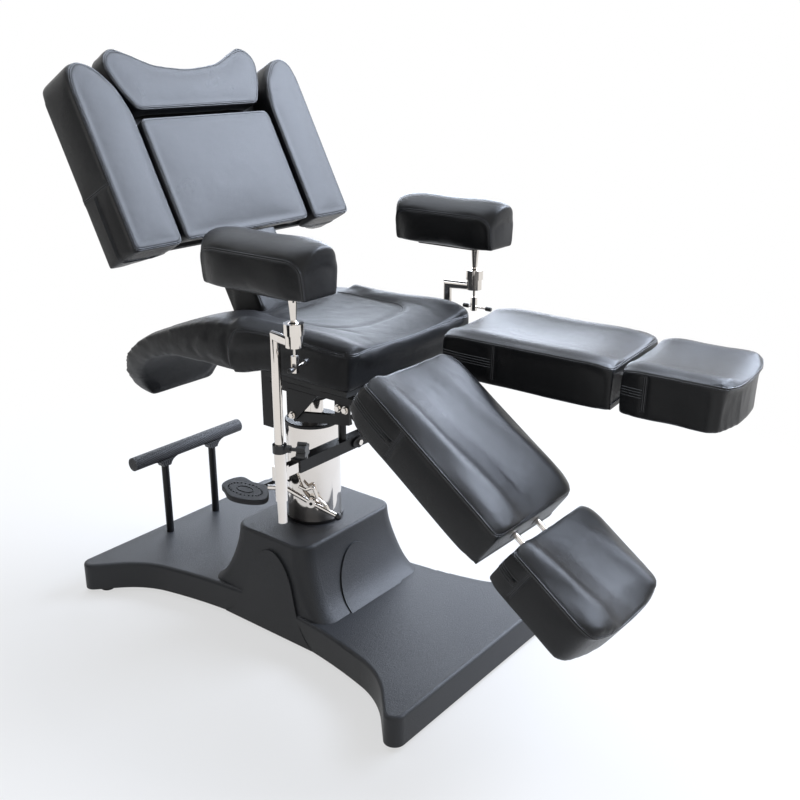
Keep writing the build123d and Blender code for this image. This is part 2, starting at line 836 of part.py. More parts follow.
# Bolts of the seat frame: washer and hexagon head, and the one on the lobed plate
hanger_mid_z = (frame_rail_bottom + hanger_bottom) / 2 + bolt_washer_radius
bolt_places = (
    (gusset_toe + bolt_washer_radius, gusset_foot + bolt_washer_radius),
    (hanger_back - bolt_washer_radius - bolt_washer_thickness, hanger_mid_z),
    (hanger_front + bolt_washer_radius + bolt_washer_thickness, hanger_mid_z),
)
with BuildPart() as frame_bolts:
    for side, name in sides:
        face = Plane.YZ.offset(side * (head_plate_half_width + gusset_thickness))
        with BuildSketch(face):
            with Locations(*bolt_places):
                Circle(bolt_washer_radius)
        extrude(amount=side * bolt_washer_thickness)
        with BuildSketch(face):
            with Locations(*bolt_places):
                RegularPolygon(bolt_head_radius, 6)
        extrude(amount=side * (bolt_washer_thickness + bolt_head_height))
    with BuildSketch(lobe_plane.offset(lobe_thickness)):
        RegularPolygon(bolt_head_radius, 6)
    extrude(amount=bolt_head_height)
keep(frame_bolts, "frame_bolts")


def rolled_section(plane, middle, half_width, low, edge, roll_top, trough, roll_width, bulge):
    """A cushion's cross-section: flat base, bowed sides, a roll along each side and a dished middle."""
    inner = half_width - roll_width
    shoulder = roll_top - (roll_top - trough) / 3
    with BuildSketch(plane) as section:
        with BuildLine():
            Line((middle - half_width, low), (middle + half_width, low))
            ThreePointArc(
                (middle + half_width, low),
                (middle + half_width + bulge, (low + edge) / 2),
                (middle + half_width, edge),
            )
            ThreePointArc(
                (middle + half_width, edge),
                (middle + (half_width + inner) / 2, roll_top),
                (middle + inner, shoulder),
            )
            ThreePointArc((middle + inner, shoulder), (middle, trough), (middle - inner, shoulder))
            ThreePointArc(
                (middle - inner, shoulder),
                (middle - (half_width + inner) / 2, roll_top),
                (middle - half_width, edge),
            )
            ThreePointArc(
                (middle - half_width, edge),
                (middle - half_width - bulge, (low + edge) / 2),
                (middle - half_width, low),
            )
        make_face()
    return section.sketch


def crowned_section(plane, middle, low_half_width, half_width, low, edge, crown, bulge):
    """A pad's cross-section: a base drawn in from the seam, bowed sides and one crowned top."""
    with BuildSketch(plane) as section:
        with BuildLine():
            Line((middle - low_half_width, low), (middle + low_half_width, low))
            ThreePointArc(
                (middle + low_half_width, low),
                (middle + (half_width + low_half_width) / 2 + bulge, (low + edge) / 2),
                (middle + half_width, edge),
            )
            ThreePointArc((middle + half_width, edge), (middle, crown), (middle - half_width, edge))
            ThreePointArc(
                (middle - half_width, edge),
                (middle - (half_width + low_half_width) / 2 - bulge, (low + edge) / 2),
                (middle - low_half_width, low),
            )
        make_face()
    return section.sketch


# Seat board
with BuildPart() as seat_board:
    with BuildSketch(Plane(origin=(0, (seat_front + board_inset + board_back) / 2, board_bottom))):
        Rectangle(2 * (seat_half_width - board_inset), board_back - seat_front - board_inset)
    extrude(amount=board_thickness)
keep(seat_board, "seat_board")

# Seat cushion: front face drawn in, side rolls, dished middle, rear underside stepping down
seat_length = seat_back - seat_front
slot_half_width = bracket_outer + face_gap
with BuildPart() as seat_cushion:
    seat_rows = []
    for place, ends in zip(pad_place_shares, pad_end_shares):
        front_end = ends if place < pad_place_shares[2] else 0
        drop = front_end * seat_edge_drop
        seat_rows.append(
            rolled_section(
                across(Plane.XY, seat_front + place * seat_length),
                0,
                seat_half_width - front_end * seat_front_draw,
                seat_rear_bottom,
                seat_seam - drop,
                seat_roll_top - drop,
                seat_trough - drop,
                seat_roll_width,
                seat_side_bulge,
            )
        )
    loft(sections=seat_rows)
    with BuildSketch(Plane.YZ):
        with BuildLine():
            Polyline(
                (seat_front - overrun, seat_rear_bottom - overrun),
                (seat_front - overrun, seat_bottom),
                (seat_slope_front, seat_bottom),
                (seat_back, seat_rear_bottom),
                (seat_back, seat_rear_bottom - overrun),
                close=True,
            )
        make_face()
    extrude(amount=2 * seat_half_width, both=True, mode=Mode.SUBTRACT)
keep(seat_cushion, "seat_cushion")

# Where the hinge lies in the backrest's own measure: along its slope, and behind its face
back_rise = math.sin(math.radians(back_angle))
back_run = math.cos(math.radians(back_angle))
hinge_s = (hinge_y - back_y) * back_run + (hinge_z - back_z) * back_rise
hinge_depth = (hinge_y - back_y) * back_rise - (hinge_z - back_z) * back_run

# Waterfall tail behind the backrest, slotted for the backrest's neck
tail_flap_low = tail_flap_z - tail_edge_radius
tail_slot_low = seat_rear_bottom - 2 * tail_edge_radius
tail_slot_front = hinge_y - hinge_depth - soft_gap
tail_run = tail_back_y - seat_back
tail_fall = tail_top - tail_flap_z
tail_outer = [
    (seat_back + tail_run * run, tail_top - tail_fall * fall)
    for run, fall in zip(tail_outer_run_shares, tail_outer_fall_shares)
]
tail_lining = [
    (seat_back + tail_run * run, tail_top - tail_fall * fall)
    for run, fall in zip(tail_lining_run_shares, tail_lining_fall_shares)
]
with BuildPart() as seat_tail:
    with BuildSketch(Plane.YZ):
        with BuildLine():
            outer = Spline(*tail_outer)
            curl = ThreePointArc(outer @ 1, (tail_curl_y, tail_flap_z), (tail_flap_y, tail_flap_z))
            lining = Spline(curl @ 1, *tail_lining)
            Line(lining @ 1, (seat_back, seat_rear_bottom))
            Line((seat_back, seat_rear_bottom), outer @ 0)
        make_face()
    extrude(amount=seat_half_width, both=True)
    with BuildSketch(Plane.XZ):
        with BuildLine():
            Line((0, tail_flap_low), (tail_flap_half_width, tail_flap_low))
            Line((tail_flap_half_width, tail_flap_low), (tail_flap_half_width, tail_flap_z))
            ThreePointArc(
                (tail_flap_half_width, tail_flap_z),
                (tail_flank_half_width, tail_flank_z),
                (seat_half_width, tail_hip_z),
            )
            Line((seat_half_width, tail_hip_z), (seat_half_width, seat_roll_top))
            Line((seat_half_width, seat_roll_top), (0, seat_roll_top))
            mirror(about=Plane.YZ)
        make_face()
    extrude(amount=2 * tail_back_y, both=True, mode=Mode.INTERSECT)
    with BuildSketch(Plane(origin=(0, (tail_slot_front + tail_slot_back) / 2, tail_slot_low))):
        Rectangle(2 * slot_half_width, tail_slot_back - tail_slot_front)
    extrude(amount=seat_roll_top - tail_slot_low, mode=Mode.SUBTRACT)
keep(seat_tail, "seat_tail")

# Backrest: its face plane, and the plane of its side view, with X up the slope and Y out of the face
back_plane = Plane(origin=(0, back_y, back_z), x_dir=(1, 0, 0), z_dir=(0, -back_rise, back_run))
back_side = Plane(origin=(0, back_y, back_z), x_dir=(0, back_run, back_rise), z_dir=(1, 0, 0))
back_out = Axis((0, 0, 0), back_plane.z_dir)
board_back_depth = back_board_depth + back_board_thickness

# Upholstered neck: it turns on the hinge pin, and its rear strap carries the board
with BuildPart() as backrest_neck:
    with BuildSketch(back_side):
        with BuildLine():
            front = Line((0, 0), (hinge_s, 0))
            nose = CenterArc((hinge_s, -hinge_depth), hinge_depth, 90, neck_turn)
            Polyline(
                nose @ 1,
                (hinge_s, -hinge_depth),
                (hinge_s, -neck_depth),
                (neck_strap_length, -neck_depth),
                (neck_strap_length, -board_back_depth),
                (0, -board_back_depth),
                (0, 0),
            )
        make_face()
        with Locations((hinge_s, -hinge_depth)):
            Circle(neck_depth - hinge_depth)
            Circle(hinge_pin_radius + running, mode=Mode.SUBTRACT)
    extrude(amount=neck_half_width, both=True)
keep(backrest_neck, "backrest_neck")

with BuildPart() as backrest_board:
    with BuildSketch(back_plane.offset(-board_back_depth)):
        with Locations((0, (back_board_low + back_board_high) / 2)):
            Rectangle(2 * back_board_half_width, back_board_high - back_board_low)
        with Locations((0, (back_board_high + back_board_head_high) / 2)):
            Rectangle(2 * back_board_head_half_width, back_board_head_high - back_board_high)
    extrude(amount=back_board_thickness)
keep(backrest_board, "backrest_board")

# Bolsters: they wrap round the board's edge, so a rabbet in the back of each takes the board
for side, name in sides:
    with BuildPart() as bolster:
        with BuildSketch(back_plane.offset(-bolster_depth)):
            with BuildLine():
                Line((side * bolster_inner, 0), (side * bolster_outer, 0))
                Line((side * bolster_outer, 0), (side * bolster_outer, bolster_shoulder_high))
                Spline(
                    (side * bolster_outer, bolster_shoulder_high),
                    (side * bolster_top_x, bolster_top),
                    tangents=((0, 1), (-side, 0)),
                )
                Spline(
                    (side * bolster_top_x, bolster_top),
                    (side * bolster_waist_x, bolster_waist_high),
                    (side * bolster_inner, bolster_waist_low),
                    tangents=((-side, 0), (0, -1)),
                )
                Line((side * bolster_inner, bolster_waist_low), (side * bolster_inner, 0))
            make_face()
        extrude(amount=bolster_depth)
        fillet(bolster.faces().sort_by(back_out)[-1].edges(), bolster_edge_radius)
        with BuildSketch(back_plane.offset(-back_board_depth)):
            with Locations((0, bolster_top / 2)):
                Rectangle(2 * back_board_half_width, 2 * bolster_top)
        extrude(amount=-bolster_depth, mode=Mode.SUBTRACT)
    keep(bolster, f"bolster_{name}")

with BuildPart() as centre_pad:
    with BuildSketch(back_plane.offset(-back_board_depth)):
        with Locations((0, (centre_low + centre_high) / 2)):
            RectangleRounded(2 * centre_half_width, centre_high - centre_low, centre_corner_radius)
    extrude(amount=back_board_depth - centre_face)
    fillet(centre_pad.faces().sort_by(back_out)[-1].edges(), back_edge_radius)
keep(centre_pad, "centre_pad")

with BuildPart() as headrest_pad:
    with BuildSketch(back_plane.offset(-back_board_depth)):
        with BuildLine():
            Line((0, head_low), (head_low_half_width, head_low))
            Line((head_low_half_width, head_low), (head_mid_half_width, head_mid_high))
            Line((head_mid_half_width, head_mid_high), (head_wide_half_width, head_wide_high))
            ThreePointArc(
                (head_wide_half_width, head_wide_high),
                (head_wide_half_width - head_face, (head_wide_high + head_peak_high) / 2 + head_face / 3),
                (head_peak_half_width, head_peak_high),
            )
            dip = ThreePointArc(
                (head_peak_half_width, head_peak_high),
                (0, head_dip_high),
                (-head_peak_half_width, head_peak_high),
            )
            ThreePointArc(
                (-head_peak_half_width, head_peak_high),
                (head_face - head_wide_half_width, (head_wide_high + head_peak_high) / 2 + head_face / 3),
                (-head_wide_half_width, head_wide_high),
            )
            Line((-head_wide_half_width, head_wide_high), (-head_mid_half_width, head_mid_high))
            Line((-head_mid_half_width, head_mid_high), (-head_low_half_width, head_low))
            Line((-head_low_half_width, head_low), (0, head_low))
        make_face()
    extrude(amount=back_board_depth - head_face)
    fillet(headrest_pad.faces().sort_by(back_out)[-1].edges(), back_edge_radius)
keep(headrest_pad, "headrest_pad")

# Arms: every piece from the sliding bar to the pad, for each side of the chair
ring_z = block_top + face_gap + arm_ring_height / 2
bar_side = tube_side - 2 * tube_wall - 2 * running
for side, name in sides:
    post = (side * post_x, post_y)
    cup = (side * cup_x, cup_y)
    knob_out = (-side * math.cos(math.radians(knob_turn)), -math.sin(math.radians(knob_turn)), 0)
    knob_plane = Plane(origin=(*post, ring_z), x_dir=(0, 0, 1), z_dir=knob_out)
    bar_plane = Plane(origin=(0, tube_y, tube_z), x_dir=(0, 1, 0), z_dir=(side, 0, 0))

    with BuildPart() as arm_bar:
        with BuildSketch(bar_plane.offset(arm_bar_inner_x)):
            Rectangle(bar_side, bar_side)
        extrude(amount=lug_inner_x - arm_bar_inner_x)
    keep(arm_bar, f"arm_bar_{name}")

    with BuildPart() as arm_block:
        with BuildSketch(Plane(origin=(*post, block_bottom))):
            Circle(block_radius)
        extrude(amount=block_top - block_bottom)
        with BuildSketch(bar_plane.offset(lug_inner_x)):
            Rectangle(2 * lug_half_depth, 2 * lug_half_height)
        extrude(amount=post_x - lug_inner_x)
        with BuildSketch(Plane(origin=(*post, block_bottom))):
            Circle(post_radius + running)
        extrude(amount=block_top - block_bottom, mode=Mode.SUBTRACT)
    keep(arm_block, f"arm_block_{name}")

    with BuildPart() as arm_ring:
        with BuildSketch(Plane(origin=(*post, block_top + face_gap))):
            Circle(arm_ring_radius)
        extrude(amount=arm_ring_height)
        with BuildSketch(knob_plane):
            Circle(knob_boss_radius)
        extrude(amount=knob_boss_length)
        with BuildSketch(Plane(origin=(*post, block_top + face_gap))):
            Circle(post_radius + running)
        extrude(amount=arm_ring_height, mode=Mode.SUBTRACT)
        with BuildSketch(knob_plane):
            Circle(knob_screw_radius + running)
        extrude(amount=knob_boss_length, mode=Mode.SUBTRACT)
    keep(arm_ring, f"arm_ring_{name}")

    with BuildPart() as arm_knob:
        with BuildSketch(knob_plane.offset(post_radius + face_gap)):
            Circle(knob_screw_radius)
        extrude(amount=knob_screw_length - post_radius)
        with BuildSketch(knob_plane.offset(knob_screw_length - face_gap)):
            Circle(knob_head_radius)
            with PolarLocations(knob_head_radius, knob_lobes):
                Circle(knob_lobe_radius)
        extrude(amount=knob_head_length)
        fillet(
            arm_knob.faces().sort_by(Axis((0, 0, 0), knob_out))[-1].edges(),
            knob_lobe_radius / 3,
        )
    keep(arm_knob, f"arm_knob_{name}")

    with BuildPart() as arm_post:
        with BuildLine() as post_route:
            Polyline((*post, post_bottom), (*post, elbow_z), (*cup, elbow_z))
        with BuildSketch(Plane(origin=(*post, post_bottom))):
            Circle(post_radius)
        sweep(path=post_route.line, transition=Transition.RIGHT)
        with BuildSketch(Plane(origin=(*cup, cup_bottom))):
            Circle(cup_lower_radius)
        extrude(amount=cup_step_z - cup_bottom)
        with BuildSketch(Plane(origin=(*cup, cup_step_z))):
            Circle(cup_radius)
        extrude(amount=cup_top - cup_step_z)
        with Locations((*cup, ball_z)):
            Sphere(ball_radius + running, mode=Mode.SUBTRACT)
        with BuildSketch(Plane(origin=(*cup, cup_top - cup_mouth_depth))):
            Circle(cup_mouth_radius)
        extrude(amount=cup_mouth_depth, mode=Mode.SUBTRACT)
        with BuildSketch(Plane(origin=(*cup, cup_bottom - overrun))):
            Circle(clamp_rod_radius + running)
        extrude(amount=ball_z - cup_bottom + overrun, mode=Mode.SUBTRACT)
    keep(arm_post, f"arm_post_{name}")

    near = (side + 1) // 2
    tommy_plane = Plane(
        origin=(*cup, tommy_z),
        x_dir=(0, 0, 1),
        z_dir=(math.cos(math.radians(tommy_turns[near])), math.sin(math.radians(tommy_turns[near])), 0),
    ).offset(tommy_slides[near])
    with BuildPart() as arm_handle:
        with BuildSketch(Plane(origin=(*cup, clamp_hex_top))):
            Circle(clamp_rod_radius)
        extrude(amount=clamp_rod_top - clamp_hex_top)
        with BuildSketch(Plane(origin=(*cup, clamp_hex_bottom))):
            RegularPolygon(clamp_hex_radius, 6)
        extrude(amount=clamp_hex_top - clamp_hex_bottom)
        with BuildSketch(tommy_plane):
            Circle(tommy_radius)
        extrude(amount=tommy_length / 2, both=True)
        with BuildSketch(tommy_plane.offset(tommy_length / 2 - tommy_end_length)):
            Circle(tommy_end_radius)
        extrude(amount=tommy_end_length)
        with BuildSketch(tommy_plane.offset(tommy_end_length - tommy_length / 2)):
            Circle(tommy_end_radius)
        extrude(amount=-tommy_end_length)
    keep(arm_handle, f"arm_handle_{name}")

    with BuildPart() as arm_ball:
        with Locations((*cup, ball_z)):
            Sphere(ball_radius)
        with BuildSketch(Plane(origin=(*cup, ball_z))):
            Circle(neck_low_radius)
        extrude(amount=cup_top - ball_z)
        with Locations((*cup, (cup_top + neck_top) / 2)):
            Cone(neck_low_radius, neck_high_radius, neck_top - cup_top)
        with BuildSketch(Plane(origin=(*cup, stem_bottom))):
            Circle(stem_radius + running)
        extrude(amount=neck_top - stem_bottom, mode=Mode.SUBTRACT)
    keep(arm_ball, f"arm_ball_{name}")

    with BuildPart() as armrest_plate:
        with BuildSketch(Plane(origin=(*cup, stem_bottom + face_gap))):
            Circle(stem_radius)
        extrude(amount=neck_top - stem_bottom)
        with BuildSketch(
            Plane(origin=(side * cup_x, (armrest_front + armrest_back) / 2, neck_top + face_gap))
        ):
            RectangleRounded(armrest_plate_width, armrest_plate_length, armrest_plate_corner)
        extrude(amount=armrest_bottom - neck_top - face_gap)
    keep(armrest_plate, f"armrest_plate_{name}")

    with BuildPart() as armrest_pad:
        armrest_rows = [
            crowned_section(
                across(Plane.XY, armrest_front + place * (armrest_back - armrest_front)),
                side * cup_x,
                armrest_half_width - armrest_draw - ends * armrest_end_draw,
                armrest_half_width - ends * armrest_end_draw,
                armrest_bottom,
                armrest_seam - ends * armrest_end_drop,
                armrest_crown - ends * armrest_end_drop,
                armrest_bulge,
            )
            for place, ends in zip(pad_place_shares, pad_end_shares)
        ]
        loft(sections=armrest_rows)
    keep(armrest_pad, f"armrest_pad_{name}")

# Leg rests: yoke, leg frame, leg pad, foot frame and foot pad, for each side of the chair
leg_middle = leg_inner_x + leg_width / 2
leg_end_s = leg_back_s + leg_length
yoke_middle_x = (yoke_inner_x + yoke_outer_x) / 2
ear_gap = running + face_gap
for side, name in sides:
    far = (side + 1) // 2
    pitch = math.radians(leg_pitches[far])
    spread = side * math.radians(leg_spreads[far])
    yoke_plane = Plane(
        origin=(side * spread_x, spread_y, 0),
        x_dir=(math.cos(spread), math.sin(spread), 0),
        z_dir=(0, 0, 1),
    )
    leg_plane = Plane(
        origin=yoke_plane.from_local_coords((-side * spread_x, leg_pivot_y - spread_y, leg_pivot_z)),
        x_dir=yoke_plane.x_dir,
        z_dir=yoke_plane.z_dir * math.cos(pitch) - yoke_plane.y_dir * math.sin(pitch),
    )
    yoke_bottom = frame_rail_top + face_gap
    yoke_top = yoke_bottom + yoke_plate_thickness
    ear_y = leg_pivot_y - spread_y
    head_top = frame_rail_bottom - face_gap

    with BuildPart() as leg_yoke:
        with BuildSketch(yoke_plane.offset(yoke_bottom)):
            Circle(yoke_back_radius)
            with Locations((side * (yoke_middle_x - spread_x), (ear_y - yoke_ear_radius) / 2)):
                Rectangle(yoke_outer_x - yoke_inner_x, yoke_ear_radius - ear_y)
        extrude(amount=yoke_plate_thickness)
        with BuildSketch(yoke_plane.offset(head_top - spread_head_height)):
            Circle(spread_pin_radius)
        extrude(amount=yoke_bottom - head_top + spread_head_height)
        with BuildSketch(yoke_plane.offset(head_top - spread_head_height)):
            Circle(spread_head_radius)
        extrude(amount=spread_head_height)
        for ear_x in (yoke_inner_x, yoke_outer_x - yoke_ear):
            ear_plane = Plane(
                origin=yoke_plane.from_local_coords((side * (ear_x - spread_x), 0, 0)),
                x_dir=yoke_plane.y_dir,
                z_dir=yoke_plane.x_dir,
            )
            with BuildSketch(ear_plane):
                with BuildLine():
                    Polyline(
                        (ear_y - yoke_ear_radius, yoke_bottom),
                        (ear_y - yoke_ear_radius, leg_pivot_z),
                        (ear_y + yoke_ear_radius, leg_pivot_z),
                        (ear_y + 2 * yoke_ear_radius, yoke_bottom),
                        close=True,
                    )
                make_face()
                with Locations((ear_y, leg_pivot_z)):
                    Circle(yoke_ear_radius)
            extrude(amount=side * yoke_ear)
        pin_plane = Plane(
            origin=yoke_plane.from_local_coords((side * (yoke_inner_x - spread_x), ear_y, leg_pivot_z)),
            x_dir=yoke_plane.y_dir,
            z_dir=yoke_plane.x_dir,
        )
        with BuildSketch(pin_plane):
            Circle(leg_pin_radius)
        extrude(amount=side * (yoke_outer_x - yoke_inner_x))
    keep(leg_yoke, f"leg_yoke_{name}")

    tongue_x = yoke_inner_x + yoke_ear + ear_gap
    tongue_width = yoke_outer_x - yoke_inner_x - 2 * (yoke_ear + ear_gap)
    board_low = leg_under - leg_board_thickness
    guide_start = leg_end_s - guide_length
    guide_places = (side * (leg_middle - rod_spacing / 2), side * (leg_middle + rod_spacing / 2))
    post_places = [guide_start + share * guide_length for share in guide_post_places]
    tongue_plane = Plane(
        origin=leg_plane.from_local_coords((side * tongue_x, 0, 0)),
        x_dir=leg_plane.y_dir,
        z_dir=leg_plane.x_dir,
    )
    with BuildPart() as leg_frame:
        with BuildSketch(tongue_plane):
            Circle(leg_hub_radius)
            with Locations((-leg_web_length / 2, board_low / 2 - leg_pin_radius / 2)):
                Rectangle(leg_web_length, board_low + leg_pin_radius)
            Circle(leg_pin_radius + running, mode=Mode.SUBTRACT)
        extrude(amount=side * tongue_width)
        with BuildSketch(leg_plane.offset(board_low)):
            with Locations((side * leg_middle, -(leg_board_start + leg_end_s) / 2)):
                Rectangle(leg_width - 2 * leg_board_inset, leg_end_s - leg_board_start)
        extrude(amount=leg_board_thickness)
        with BuildSketch(leg_plane.offset(leg_under)):
            with Locations(*[(x, -s) for x in guide_places for s in post_places]):
                Rectangle(guide_post_width, guide_post_width)
        extrude(amount=rod_height - leg_under)
        with BuildSketch(across(leg_plane, -guide_start)):
            with Locations(*[(x, rod_height) for x in guide_places]):
                Circle(guide_radius)
        extrude(amount=guide_length)
        with BuildSketch(across(leg_plane, -guide_start)):
            with Locations(*[(x, rod_height) for x in guide_places]):
                Circle(rod_radius + running)
        extrude(amount=guide_length, mode=Mode.SUBTRACT)
    keep(leg_frame, f"leg_frame_{name}")

    with BuildPart() as leg_pad:
        leg_rows = [
            rolled_section(
                across(leg_plane, -(leg_back_s + place * leg_length)),
                side * leg_middle,
                leg_width / 2 - ends * leg_end_draw,
                leg_under,
                leg_edge - ends * leg_end_drop,
                leg_roll_top - ends * leg_end_drop,
                leg_trough - ends * leg_end_drop,
                leg_roll_width,
                leg_side_bulge,
            )
            for place, ends in zip(pad_place_shares, pad_end_shares)
        ]
        loft(sections=leg_rows)
        with BuildSketch(leg_plane.offset(leg_under)):
            with Locations(*[(x, -s) for x in guide_places for s in post_places]):
                Rectangle(guide_post_width, guide_post_width)
        extrude(amount=rod_height - leg_under, mode=Mode.SUBTRACT)
        with BuildSketch(across(leg_plane, -guide_start)):
            with Locations(*[(x, rod_height) for x in guide_places]):
                Circle(guide_radius)
        extrude(amount=guide_length, mode=Mode.SUBTRACT)
    keep(leg_pad, f"leg_pad_{name}")

    foot_start = foot_starts[far]
    plate_start = foot_start + foot_plate_depth
    with BuildPart() as foot_frame:
        with BuildSketch(across(leg_plane, -(foot_start - rod_insert))):
            with Locations(*[(x, rod_height) for x in guide_places]):
                Circle(rod_radius)
        extrude(amount=rod_insert + foot_plate_depth + foot_plate_thickness)
        with BuildSketch(across(leg_plane, -plate_start)):
            with Locations((side * leg_middle, (leg_under + rod_height + guide_radius) / 2)):
                Rectangle(rod_spacing + 4 * guide_radius, rod_height + guide_radius - leg_under)
        extrude(amount=foot_plate_thickness)
        with BuildSketch(leg_plane.offset(board_low)):
            with Locations((side * leg_middle, -(plate_start + foot_board_length / 2))):
                Rectangle(foot_width - 4 * leg_board_inset, foot_board_length)
        extrude(amount=leg_board_thickness)
    keep(foot_frame, f"foot_frame_{name}")

    with BuildPart() as foot_pad:
        foot_rows = [
            rolled_section(
                across(leg_plane, -(foot_start + place * foot_length)),
                side * leg_middle,
                foot_width / 2 - ends * leg_end_draw,
                leg_under,
                leg_edge - ends * leg_end_drop,
                leg_roll_top - ends * leg_end_drop,
                leg_trough - ends * leg_end_drop,
                leg_roll_width,
                leg_side_bulge,
            )
            for place, ends in zip(pad_place_shares, pad_end_shares)
        ]
        loft(sections=foot_rows)
        foot_side = foot_width / 2 + leg_side_bulge + soft_gap
        foot_corner_s = foot_start + foot_length - foot_end_drop
        with BuildSketch(leg_plane.offset(leg_under - overrun)) as foot_outline:
            with BuildLine():
                Line(
                    (side * leg_middle + foot_side, -foot_corner_s),
                    (side * leg_middle + foot_side, overrun - foot_start),
                )
                Line(
                    (side * leg_middle + foot_side, overrun - foot_start),
                    (side * leg_middle - foot_side, overrun - foot_start),
                )
                Line(
                    (side * leg_middle - foot_side, overrun - foot_start),
                    (side * leg_middle - foot_side, -foot_corner_s),
                )
                ThreePointArc(
                    (side * leg_middle - foot_side, -foot_corner_s),
                    (side * leg_middle, foot_end_trim - foot_start - foot_length),
                    (side * leg_middle + foot_side, -foot_corner_s),
                )
            make_face()
            fillet(foot_outline.vertices().sort_by(Axis.Y)[0:2], foot_end_corner)
        extrude(amount=leg_roll_top - leg_under + 2 * overrun, mode=Mode.INTERSECT)
        with BuildSketch(across(leg_plane, -(foot_start - overrun))):
            with Locations(*[(x, rod_height) for x in guide_places]):
                Circle(rod_radius)
        extrude(amount=overrun + foot_plate_depth, mode=Mode.SUBTRACT)
        with BuildSketch(across(leg_plane, -plate_start)):
            with Locations((side * leg_middle, (leg_under + rod_height + guide_radius) / 2)):
                Rectangle(rod_spacing + 4 * guide_radius, rod_height + guide_radius - leg_under)
        extrude(amount=foot_plate_thickness, mode=Mode.SUBTRACT)
    keep(foot_pad, f"foot_pad_{name}")
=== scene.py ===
# %% [markdown]
# A hydraulic tattoo chair in black leather. Its metal parts arrive finished in shape from the packed
# model, so this script gives them their surfaces, and it makes every soft part anew: each pad starts
# as an even skin over its plain solid, is filled with air, sculpted, and then sewn.

# %% Load the frame
import json
import math

import bmesh
import bpy
from mathutils import Matrix, Vector, noise
from mathutils.bvhtree import BVHTree
from mathutils.kdtree import KDTree


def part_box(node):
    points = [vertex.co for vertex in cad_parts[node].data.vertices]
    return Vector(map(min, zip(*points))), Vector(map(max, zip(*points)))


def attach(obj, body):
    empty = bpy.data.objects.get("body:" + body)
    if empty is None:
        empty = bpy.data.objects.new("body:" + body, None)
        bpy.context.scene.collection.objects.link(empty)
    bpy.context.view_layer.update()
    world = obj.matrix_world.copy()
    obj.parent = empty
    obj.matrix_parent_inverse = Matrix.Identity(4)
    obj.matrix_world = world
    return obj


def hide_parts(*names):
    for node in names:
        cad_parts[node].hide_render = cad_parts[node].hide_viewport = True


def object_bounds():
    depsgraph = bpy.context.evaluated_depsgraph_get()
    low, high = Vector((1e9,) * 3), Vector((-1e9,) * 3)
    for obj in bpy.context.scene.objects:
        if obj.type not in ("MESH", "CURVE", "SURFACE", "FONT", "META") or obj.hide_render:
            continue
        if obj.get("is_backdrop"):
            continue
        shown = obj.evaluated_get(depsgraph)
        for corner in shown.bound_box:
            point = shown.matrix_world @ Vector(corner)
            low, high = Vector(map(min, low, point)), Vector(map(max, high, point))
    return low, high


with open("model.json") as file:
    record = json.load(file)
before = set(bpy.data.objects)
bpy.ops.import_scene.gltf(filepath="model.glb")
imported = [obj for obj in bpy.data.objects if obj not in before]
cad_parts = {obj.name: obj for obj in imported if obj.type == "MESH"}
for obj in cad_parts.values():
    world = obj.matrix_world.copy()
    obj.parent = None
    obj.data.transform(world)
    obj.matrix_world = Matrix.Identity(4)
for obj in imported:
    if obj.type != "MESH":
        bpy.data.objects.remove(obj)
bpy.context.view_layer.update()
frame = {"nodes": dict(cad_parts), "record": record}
nodes = frame["nodes"]
scene = bpy.context.scene
mm = 0.001
sides = {"right": -1, "left": 1}

# %% [markdown]
# Finishes are built from nodes. Writing sums as nodes one by one is hard to read, so a small class
# stands for one changing number and turns + - * into Math nodes. A second class holds a material and
# adds any other node from its type, its settings and what goes into its sockets.

# %% Two helpers for finishes


class Field:
    """One number that changes over a surface, with the usual sums."""

    def __init__(self, finish, socket):
        self.finish = finish
        self.socket = socket

    def maths(self, operation, first, second):
        return self.finish.node("ShaderNodeMath", {"operation": operation}, {0: first, 1: second})

    def __add__(self, other):
        return self.maths("ADD", self, other)

    def __sub__(self, other):
        return self.maths("SUBTRACT", self, other)

    def __rsub__(self, other):
        return self.maths("SUBTRACT", other, self)

    def __mul__(self, other):
        return self.maths("MULTIPLY", self, other)

    __radd__ = __add__
    __rmul__ = __mul__


